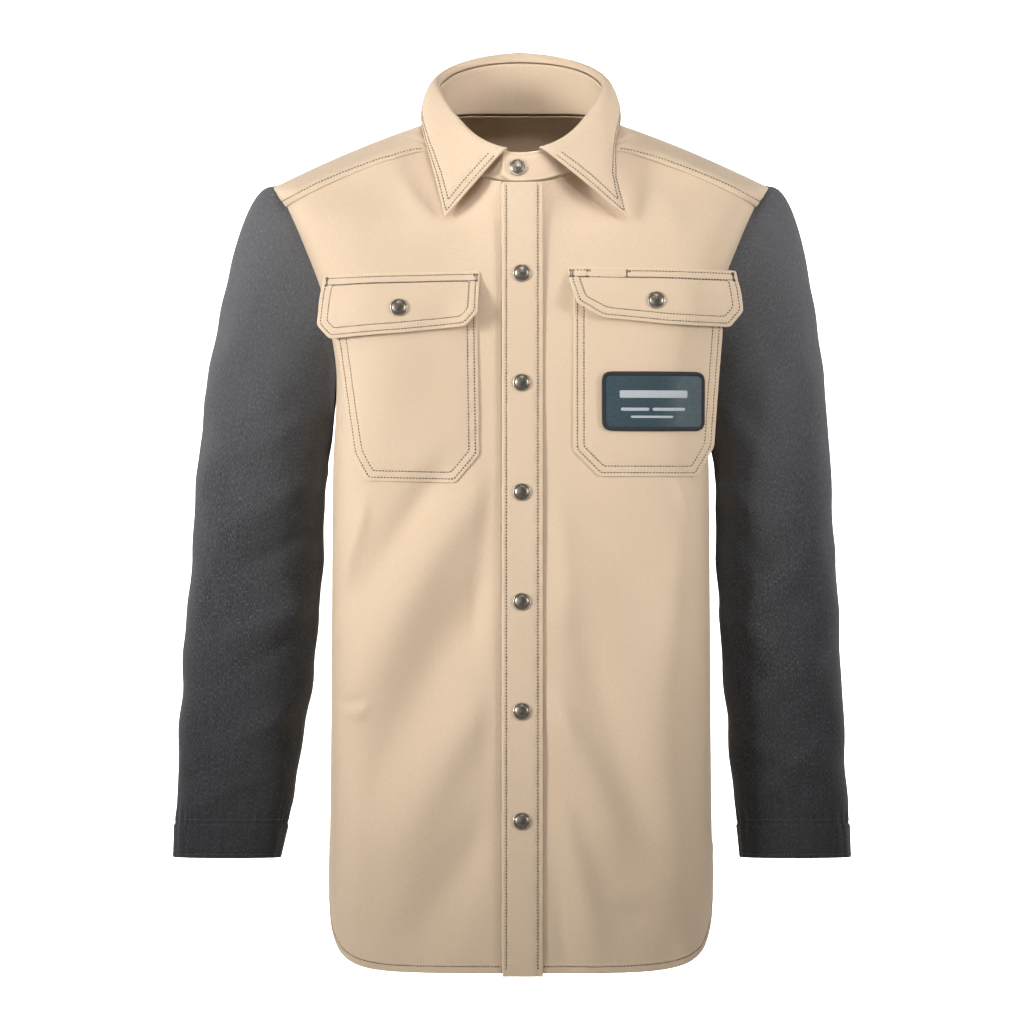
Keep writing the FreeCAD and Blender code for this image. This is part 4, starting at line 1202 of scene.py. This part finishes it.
capGroup, capIn, capOut = nodeGroup("snapCaps")
capKeys = {"shape": groupInput(capGroup, "Cap", "NodeSocketObject"),
           "metal": groupInput(capGroup, "Material", "NodeSocketMaterial")}
facing = capGroup.nodes.new("GeometryNodeInputNamedAttribute")
facing.data_type = "FLOAT_VECTOR"
facing.inputs["Name"].default_value = "facing"
turned = capGroup.nodes.new("FunctionNodeAlignRotationToVector")
turned.axis = "Z"
info = capGroup.nodes.new("GeometryNodeObjectInfo")
setOn = capGroup.nodes.new("GeometryNodeInstanceOnPoints")
real = capGroup.nodes.new("GeometryNodeRealizeInstances")
paint = capGroup.nodes.new("GeometryNodeSetMaterial")
capGroup.links.new(facing.outputs["Attribute"], turned.inputs["Vector"])
capGroup.links.new(capIn.outputs["Cap"], info.inputs["Object"])
capGroup.links.new(capIn.outputs["Geometry"], setOn.inputs["Points"])
capGroup.links.new(info.outputs["Geometry"], setOn.inputs["Instance"])
capGroup.links.new(turned.outputs["Rotation"], setOn.inputs["Rotation"])
capGroup.links.new(setOn.outputs["Instances"], real.inputs["Geometry"])
capGroup.links.new(real.outputs["Geometry"], paint.inputs["Geometry"])
capGroup.links.new(capIn.outputs["Material"], paint.inputs["Material"])
capGroup.links.new(paint.outputs["Geometry"], capOut.inputs["Geometry"])


def setCaps(name, spots, body, replaced):       # spots: (point under the cap in mm, unit normal)
    mesh = bpy.data.meshes.new(name + "Points")
    mesh.from_pydata([frameOf(p) for p, n in spots], [], [])
    layer = mesh.attributes.new("facing", "FLOAT_VECTOR", "POINT")
    layer.data.foreach_set("vector", np.array([n for p, n in spots], np.float32).ravel())
    holder = bpy.data.objects.new(name + "Points", mesh)
    bpy.context.collection.objects.link(holder)
    made = bakeNodes(holder, capGroup, {capKeys["shape"]: capShape, capKeys["metal"]: snapMetal}, name,
                     snapMetal)
    return settle(made, body, "snap_metal", replaced)


bpy.context.collection.objects.link(capShape)
tilt = np.array([0.0, float(centreY(np.array(1.0)) - centreY(np.array(0.0))), 1.0])
tilt /= np.linalg.norm(tilt)
stripNormal = np.cross([1.0, 0, 0], tilt)
spots = [(np.array([snapX, float(centreY(np.array(snapTop - snapPitch * i))), snapTop - snapPitch * i])
          + stripNormal * 5.2, stripNormal) for i in range(snapCount)]
setCaps("placketCaps", spots, "placket", "placket_caps")
for side, sideName in ((1, "left"), (-1, "right")):
    x, h = flapSnaps[side]
    normal = frontNormal(np.array(x), np.array(h))
    base = np.array([x, float(frontY(np.array(x), np.array(h))), h])
    point = base + normal * 8.35
    mirrorX = np.array([side, 1, 1])
    setCaps(sideName + "FlapCap", [(point * mirrorX, normal * mirrorX)], sideName + "_flap", sideName
            + "_flap_cap")
snapTurn = -2 * math.pi - 0.04
share = (snapTurn - standUnder) / (standOver - standUnder)
near = standSurface(np.array([[share, share + 0.001], [share, share + 0.001]]),
                    np.array([[0.47, 0.47], [0.48, 0.48]]))
normal = np.cross(near[1, 0] - near[0, 0], near[0, 1] - near[0, 0])
normal /= np.linalg.norm(normal)
normal = normal if normal[1] < 0 else -normal
setCaps("collarCap", [(near[0, 0] + normal * 1.2, normal)], "torso", "collar_snap_cap")
bpy.data.objects.remove(capShape)
for hidden in ("placket_sockets", "placket_studs", "placket_posts", "left_flap_socket", "right_flap_socket",
               "left_pocket_stud", "right_pocket_stud", "left_pocket_post", "right_pocket_post",
               "collar_snap_socket", "collar_snap_stud", "collar_snap_post"):
    nodes[hidden].data.materials.clear()
    nodes[hidden].data.materials.append(innerMetal)
print("snaps made")

# sleeves
armholeStops = (0, 0.08, 0.18, 0.28, 0.38, 0.45, 0.5, 0.55, 0.62, 0.72, 0.82, 0.92, 1)
armholePoints = ((183, -14, 462), (181, -25, 490), (177, -40, 560), (188.5, -47, 630), (208.5, -38, 690),
                 (224.5, -20, 722), (236.5, 3, 737), (228, 22, 728), (214.5, 40, 697), (188.5, 44, 630),
                 (177, 33, 560), (181, 7, 490), (183, -14, 462))
armhole = [softCurve(*[(u, p[k]) for u, p in zip(armholeStops, armholePoints)]) for k in range(3)]
sleeveOuter = {-1: softCurve((107, 325), (138, 324), (275, 318), (405, 308.5), (452, 307)),
               1: softCurve((107, 308), (138, 307), (275, 301), (405, 294), (452, 291))}
sleeveInner = {-1: softCurve((107, 227), (138, 220), (201, 208), (275, 196), (350, 189), (405, 185)),
               1: softCurve((107, 207), (138, 204), (201, 197), (275, 191), (350, 186), (405, 183))}
sleeveDepth = softCurve((107, 30), (200, 38), (300, 46), (400, 53))
sleeveForward = softCurve((107, -26), (250, -14), (400, -6))
sleeveLook = {"thick": 1.5, "split": 385.0, "low": 107.0, "cuff": 138.0, "tuck": 0.16}
# creases of each sleeve, by side: from and to as (share from the inner edge, height), rise, half width
sleeveFolds = {
    -1: [((0.15, 520), (0.80, 478), 3.2, 13), ((0.05, 470), (0.75, 400), 4.0, 13),
         ((0.10, 424), (0.60, 372), -3.0, 10),
         ((0.85, 430), (0.15, 318), 3.2, 14), ((0.10, 352), (0.85, 296), 3.6, 12),
         ((0.15, 318), (0.90, 262), -3.0, 11),
         ((0.80, 300), (0.20, 226), 2.8, 12), ((0.15, 250), (0.75, 196), 2.8, 10),
         ((0.35, 225), (0.95, 168), -2.4, 10),
         ((0.70, 600), (0.95, 520), 2.2, 14), ((0.30, 180), (0.80, 150), 2.0, 8)],
    1: [((0.15, 515), (0.85, 462), 3.4, 13), ((0.10, 462), (0.80, 386), 4.0, 13),
        ((0.20, 400), (0.75, 345), -3.2, 11),
        ((0.90, 420), (0.25, 336), 2.8, 13), ((0.05, 340), (0.70, 280), 3.6, 12),
        ((0.85, 310), (0.20, 240), 3.0, 12),
        ((0.20, 285), (0.85, 226), -2.8, 10), ((0.10, 226), (0.80, 182), 2.8, 10),
        ((0.80, 222), (0.30, 158), 2.2, 9),
        ((0.65, 590), (0.95, 512), 2.4, 14), ((0.25, 172), (0.75, 150), 2.0, 8)]}


def sleeveRing(side, u, h):
    o, i = sleeveOuter[side](h), sleeveInner[side](h)
    turn = 2 * math.pi * u
    return np.stack([(o + i) / 2 - (o - i) / 2 * np.cos(turn),
                     sleeveForward(h) - sleeveDepth(h) * np.sin(turn),
                     np.broadcast_to(h, np.shape(u)) * 1.0], -1)


def sleeveHead(side, u, v):
    top = np.sin(math.pi * u) ** 2
    start = np.stack([armhole[k](u) for k in range(3)], -1)
    end = sleeveRing(side, u, np.full(np.shape(u), sleeveLook["split"]))
    leave = np.stack([mix(14, 118, top), 0 * u, mix(-60, -18, top)], -1)
    arrive = np.stack([mix(2, 12, top), 0 * u, mix(-70, -330, top)], -1)
    v = v[..., None]
    early = np.minimum(v, 0)
    v = np.maximum(v, 0)
    return (start * (2 * v ** 3 - 3 * v ** 2 + 1) + leave * (v ** 3 - 2 * v ** 2 + v)
            + end * (3 * v ** 2 - 2 * v ** 3)
            + arrive * (v ** 3 - v ** 2)) + leave * early * 0.6


def creaseAt(side, points):
    x, h = np.abs(points[..., 0]), points[..., 2]
    o, i = sleeveOuter[side](np.clip(h, 107, 452)), sleeveInner[side](np.clip(h, 107, 405))
    share = np.clip((x - i) / (o - i), -0.2, 1.2)
    spanWidth = 105.0
    forward = np.where(h < 400, sleeveForward(np.clip(h, 107, 400)), -6)
    facing = points[..., 1] - forward
    scaled = [((a * spanWidth, ah), (b * spanWidth, bh), r, w) for (a, ah), (b, bh), r,
              w in sleeveFolds[side]]
    back = [(((1 - a) * spanWidth, ah + 20), ((1 - b) * spanWidth, bh + 14), r * 0.9, w) for (a, ah),
            (b, bh), r, w
            in sleeveFolds[side]]
    frontShare = smooth((-facing + 14) / 28)
    ahead = ridgeSum(share * spanWidth, h, scaled) * frontShare
    return ahead + ridgeSum(share * spanWidth, h, back) * (1 - frontShare)


def sleeveRelief(side):
    def relief(points, sShare, tShare):
        h, x = points[..., 2], np.abs(points[..., 0])
        calmCuff = smooth((h - 140) / 22)
        head = smooth((690 - h) / 60)
        fine = 0.7 * np.sin(x / 12 + h / 17 + np.sin(h / 40)) + 0.5 * np.sin(h / 9.5 - x / 14)
        body = creaseAt(side, points) * head + fine * head
        cuff = sleeveLook["cuff"]
        step = 1.2 * (1 - smooth((h - cuff) / 1.2)) - 0.9 * np.exp(-((h - cuff - 0.8) / 1.0) ** 2)
        gather = 0.5 * np.sin(2 * math.pi * sShare * 34
                              + 2 * np.sin(sShare * 40)) * np.exp(-((h - cuff - 6) / 9) ** 2)
        hem = 0.25 * np.sin(2 * math.pi * sShare * 21) * (1 - smooth((h - cuff) / 2))
        return body * calmCuff + step + gather + hem
    return relief


for side, sideName in ((1, "left"), (-1, "right")):
    flip = np.array([side, 1, 1])

    def upper(sShare, tShare, side=side, flip=flip):
        u = sShare if side > 0 else 1 - sShare
        return sleeveHead(side, u, mix(1.0, -sleeveLook["tuck"], tShare)) * flip

    def lower(sShare, tShare, side=side, flip=flip):
        u = sShare if side > 0 else 1 - sShare
        return sleeveRing(side, u, mix(sleeveLook["low"], sleeveLook["split"], tShare)) * flip

    top, _ = clothTube(sideName + "UpperSleeve", upper, 200, np.linspace(0, 1, 170), sleeveLook["thick"],
                              relief=sleeveRelief(side), material=denim, softEnds=(False, True))
    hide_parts(sideName + "_sleeve_head", sideName + "_shoulder_section", sideName + "_upper_sleeve")
    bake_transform(top)
    lowSteps = np.concatenate([[0, 0.0015, 0.004], np.linspace(0.008, 1, 180)])
    low, lowOuter = clothTube(sideName + "LowerSleeve", lower, 200, lowSteps, sleeveLook["thick"],
                              relief=sleeveRelief(side), material=denim, softEnds=(True, False))
    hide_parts(sideName + "_elbow_section", sideName + "_lower_sleeve", sideName + "_cuff_band")
    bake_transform(low)
    for height in (143.0, 110.5):
        ring = np.array([pointAt(height, column[:, 2], column) for column in lowOuter])
        addRow(sideName + "_forearm_body", ring, (0, 0, 0))
print("sleeves made")

# stitches: short dark threads set along every row by geometry nodes
stitchLook = {"pitch": 3.0, "length": 2.0, "thread": 1.05}
threadShape = bpy.data.meshes.new("stitchShape")
steps, sides = 5, 6
ringsOf = [(math.cos(math.pi * k / steps), math.sin(math.pi * k / steps)) for k in range(steps + 1)]
threadPoints, threadFaces = [], []
for c, r in ringsOf[1:-1]:
    for k in range(sides):
        a = 2 * math.pi * k / sides
        threadPoints.append((c * 0.5, r * math.cos(a) * 0.5, r * math.sin(a) * 0.5))
threadPoints += [(0.5, 0, 0), (-0.5, 0, 0)]
for j in range(steps - 2):
    for k in range(sides):
        a, b = j * sides + k, j * sides + (k + 1) % sides
        threadFaces.append((a, b, b + sides, a + sides))
tipA, tipB = len(threadPoints) - 2, len(threadPoints) - 1
for k in range(sides):
    threadFaces.append((tipA, (k + 1) % sides, k))
    threadFaces.append((tipB, (steps - 2) * sides + k, (steps - 2) * sides + (k + 1) % sides))
threadShape.from_pydata(threadPoints, [], threadFaces)
threadShape.polygons.foreach_set("use_smooth", [True] * len(threadShape.polygons))
threadObject = bpy.data.objects.new("stitchShape", threadShape)
bpy.context.collection.objects.link(threadObject)

stitchGroup, stitchIn, stitchOut = nodeGroup("stitchRows")
stitchKeys = {"shape": groupInput(stitchGroup, "Thread", "NodeSocketObject"),
              "pitch": groupInput(stitchGroup, "Pitch", "NodeSocketFloat", stitchLook["pitch"] / 1000),
              "size": groupInput(stitchGroup, "Size", "NodeSocketVector"),
              "seed": groupInput(stitchGroup, "Seed", "NodeSocketInt", 7),
              "thread": groupInput(stitchGroup, "Material", "NodeSocketMaterial")}
toCurve = stitchGroup.nodes.new("GeometryNodeMeshToCurve")
toPoints = stitchGroup.nodes.new("GeometryNodeCurveToPoints")
toPoints.mode = "LENGTH"
align = stitchGroup.nodes.new("FunctionNodeAlignRotationToVector")
align.axis = "X"
threadInfo = stitchGroup.nodes.new("GeometryNodeObjectInfo")
place = stitchGroup.nodes.new("GeometryNodeInstanceOnPoints")
vary = stitchGroup.nodes.new("FunctionNodeRandomValue")
vary.data_type = "FLOAT"
vary.inputs[2].default_value, vary.inputs[3].default_value = 0.88, 1.1
resize = stitchGroup.nodes.new("ShaderNodeVectorMath")
resize.operation = "SCALE"
makeReal = stitchGroup.nodes.new("GeometryNodeRealizeInstances")
paintThread = stitchGroup.nodes.new("GeometryNodeSetMaterial")
link = stitchGroup.links.new
link(stitchIn.outputs["Geometry"], toCurve.inputs["Mesh"])
link(toCurve.outputs["Curve"], toPoints.inputs["Curve"])
link(stitchIn.outputs["Pitch"], toPoints.inputs["Length"])
link(toPoints.outputs["Tangent"], align.inputs["Vector"])
link(stitchIn.outputs["Thread"], threadInfo.inputs["Object"])
link(toPoints.outputs["Points"], place.inputs["Points"])
link(threadInfo.outputs["Geometry"], place.inputs["Instance"])
link(align.outputs["Rotation"], place.inputs["Rotation"])
link(stitchIn.outputs["Seed"], vary.inputs["Seed"])
link(stitchIn.outputs["Size"], resize.inputs[0])
link(vary.outputs[1], resize.inputs["Scale"])
link(resize.outputs["Vector"], place.inputs["Scale"])
link(place.outputs["Instances"], makeReal.inputs["Geometry"])
link(makeReal.outputs["Geometry"], paintThread.inputs["Geometry"])
link(stitchIn.outputs["Material"], paintThread.inputs["Material"])
link(paintThread.outputs["Geometry"], stitchOut.inputs["Geometry"])


def sewRows(name, lines, body, pitch, length, wide, material):
    verts, edges = [], []
    for line in lines:
        start = len(verts)
        verts += [tuple(p) for p in toFrame(line)]
        edges += [(i, i + 1) for i in range(start, len(verts) - 1)]
    mesh = bpy.data.meshes.new(name + "Rows")
    mesh.from_pydata(verts, edges, [])
    holder = bpy.data.objects.new(name + "Rows", mesh)
    bpy.context.collection.objects.link(holder)
    values = {stitchKeys["shape"]: threadObject, stitchKeys["pitch"]: pitch / 1000,
              stitchKeys["size"]: (length / 1000, wide / 1000, wide / 1000), stitchKeys["seed"]: len(name),
              stitchKeys["thread"]: material}
    made = bakeNodes(holder, stitchGroup, values, name, material)
    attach(made, body)
    return made


for body, lines in rows.items():
    sewRows(body.replace("_body", "") + "Stitches", lines, body, stitchLook["pitch"], stitchLook["length"],
            stitchLook["thread"], darkThread)
tackRows = {}
for body, a, b in tacks:
    ahead = (b - a) / np.linalg.norm(b - a)
    side = np.cross(ahead, [0, -1.0, 0])
    side /= np.linalg.norm(side)
    steps = max(int(np.linalg.norm(b - a) / 0.75), 4)
    tackRows.setdefault(body, []).extend(
        [np.array([a + (b - a) * k / steps - side * 1.2, a + (b - a) * k / steps + side * 1.25])
         for k in range(steps + 1)])
for body, lines in tackRows.items():
    sewRows(body + "Tacks", lines, body, 2.4, 2.6, 0.75, tackThread)
bpy.data.objects.remove(threadObject)
print("stitches made")

# setting, camera and light
stageLook = {"front": 7.5, "lens": 283.6, "across": -0.0084, "up": -0.364}
floorLevel = min(float(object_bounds()[0][2]), cadBox[0][2]) - 0.60


def plainMaterial(name, colour, rough):
    material, tree, shader = newMaterial(name)
    grain = noiseOf(tree, node(tree, "ShaderNodeTexCoord").outputs["Object"], 3.0)
    darker = tuple(c * 0.99 for c in colour[:3]) + (1,)
    shade = blendColour(tree, spread(tree, grain, 0.3, 0.7, 0.0, 1.0), colour, darker)
    tree.links.new(shade, shader.inputs["Base Color"])
    shader.inputs["Roughness"].default_value = rough
    return material


bend = [(12.6 + 1.2 * math.sin(a), 1.2 - 1.2 * math.cos(a)) for a in np.linspace(0.1, math.pi / 2, 16)]
sweep = [(-14.5, 0.0), (12.6, 0.0)] + bend + [(13.8, 6.0)]
wallPoints = [(x, y, floorLevel + z) for y, z in sweep for x in (-14.0, 14.0)]
wallFaces = [(2 * k, 2 * k + 1, 2 * k + 3, 2 * k + 2) for k in range(len(sweep) - 1)]
wallMesh = bpy.data.meshes.new("backdrop")
wallMesh.from_pydata(wallPoints, [], wallFaces)
wallMesh.polygons.foreach_set("use_smooth", [True] * len(wallFaces))
wallMesh.materials.append(plainMaterial("backdropPaper", (0.93, 0.93, 0.93, 1), 0.9))
wall = bpy.data.objects.new("backdrop", wallMesh)
bpy.context.collection.objects.link(wall)

cameraData = bpy.data.cameras.new("camera")
cameraData.lens, cameraData.sensor_width = stageLook["lens"], 36.0
camera = bpy.data.objects.new("camera", cameraData)
camera.location = (stageLook["across"], -0.1 - stageLook["front"], stageLook["up"])
camera.rotation_euler = (math.radians(90), 0, 0)
bpy.context.collection.objects.link(camera)
bpy.context.scene.camera = camera


def softLight(name, place, toward, size, power, tall=None, beam=180):
    data = bpy.data.lights.new(name, "AREA")
    data.shape, data.size, data.size_y = "RECTANGLE", size, tall or size
    data.energy, data.spread = power, math.radians(beam)
    lamp = bpy.data.objects.new(name, data)
    lamp.location = place
    lamp.rotation_euler = (Vector(toward) - Vector(place)).to_track_quat("-Z", "Y").to_euler()
    bpy.context.collection.objects.link(lamp)


stageLights = {
    "leftBox": {"place": (-1.75, -1.15, 0.05), "toward": (-0.05, 0, -0.27), "size": 0.5, "power": 3.1,
                "tall": 0.7, "beam": 44},
    "rightBox": {"place": (1.8, -1.10, 0.10), "toward": (0.08, 0, -0.22), "size": 0.5, "power": 1.6,
                 "tall": 0.7, "beam": 40},
    "topBox": {"place": (0.05, -1.1, 1.4), "toward": (0, -0.02, -0.2), "size": 0.9, "power": 0.9,
               "beam": 60},
    "frontFill": {"place": (-1.3, -3.0, 0.15), "toward": (0, 0, -0.25), "size": 1.4, "power": 8.0},
    "neckFill": {"place": (0.0, -1.3, 0.75), "toward": (0, 0.06, -0.06), "size": 0.2, "power": 0.07,
                 "beam": 14},
    "rearLeft": {"place": (-1.9, 1.5, 0.4), "toward": (0, 0, -0.3), "size": 0.8, "power": 1.5, "beam": 50},
    "rearRight": {"place": (1.9, 1.6, 0.4), "toward": (0, 0, -0.3), "size": 0.8, "power": 1.3, "beam": 50},
    "backWash": {"place": (0.0, 10.4, 3.2), "toward": (0, 13.6, -0.2), "size": 5.0, "power": 620.0,
                 "tall": 2.0},
    "floorWash": {"place": (0.0, 8.6, 3.4), "toward": (0, 8.9, -1.1), "size": 5.0, "power": 560.0,
                  "tall": 4.0}}
for lampName, lampLook in stageLights.items():
    softLight(lampName, **lampLook)
world = bpy.data.worlds.new("studio")
world.use_nodes = True
world.node_tree.nodes["Background"].inputs["Color"].default_value = (1, 1, 1, 1)
world.node_tree.nodes["Background"].inputs["Strength"].default_value = 0.2
bpy.context.scene.world = world
bpy.context.scene.view_settings.view_transform = "Standard"
print("setting made")
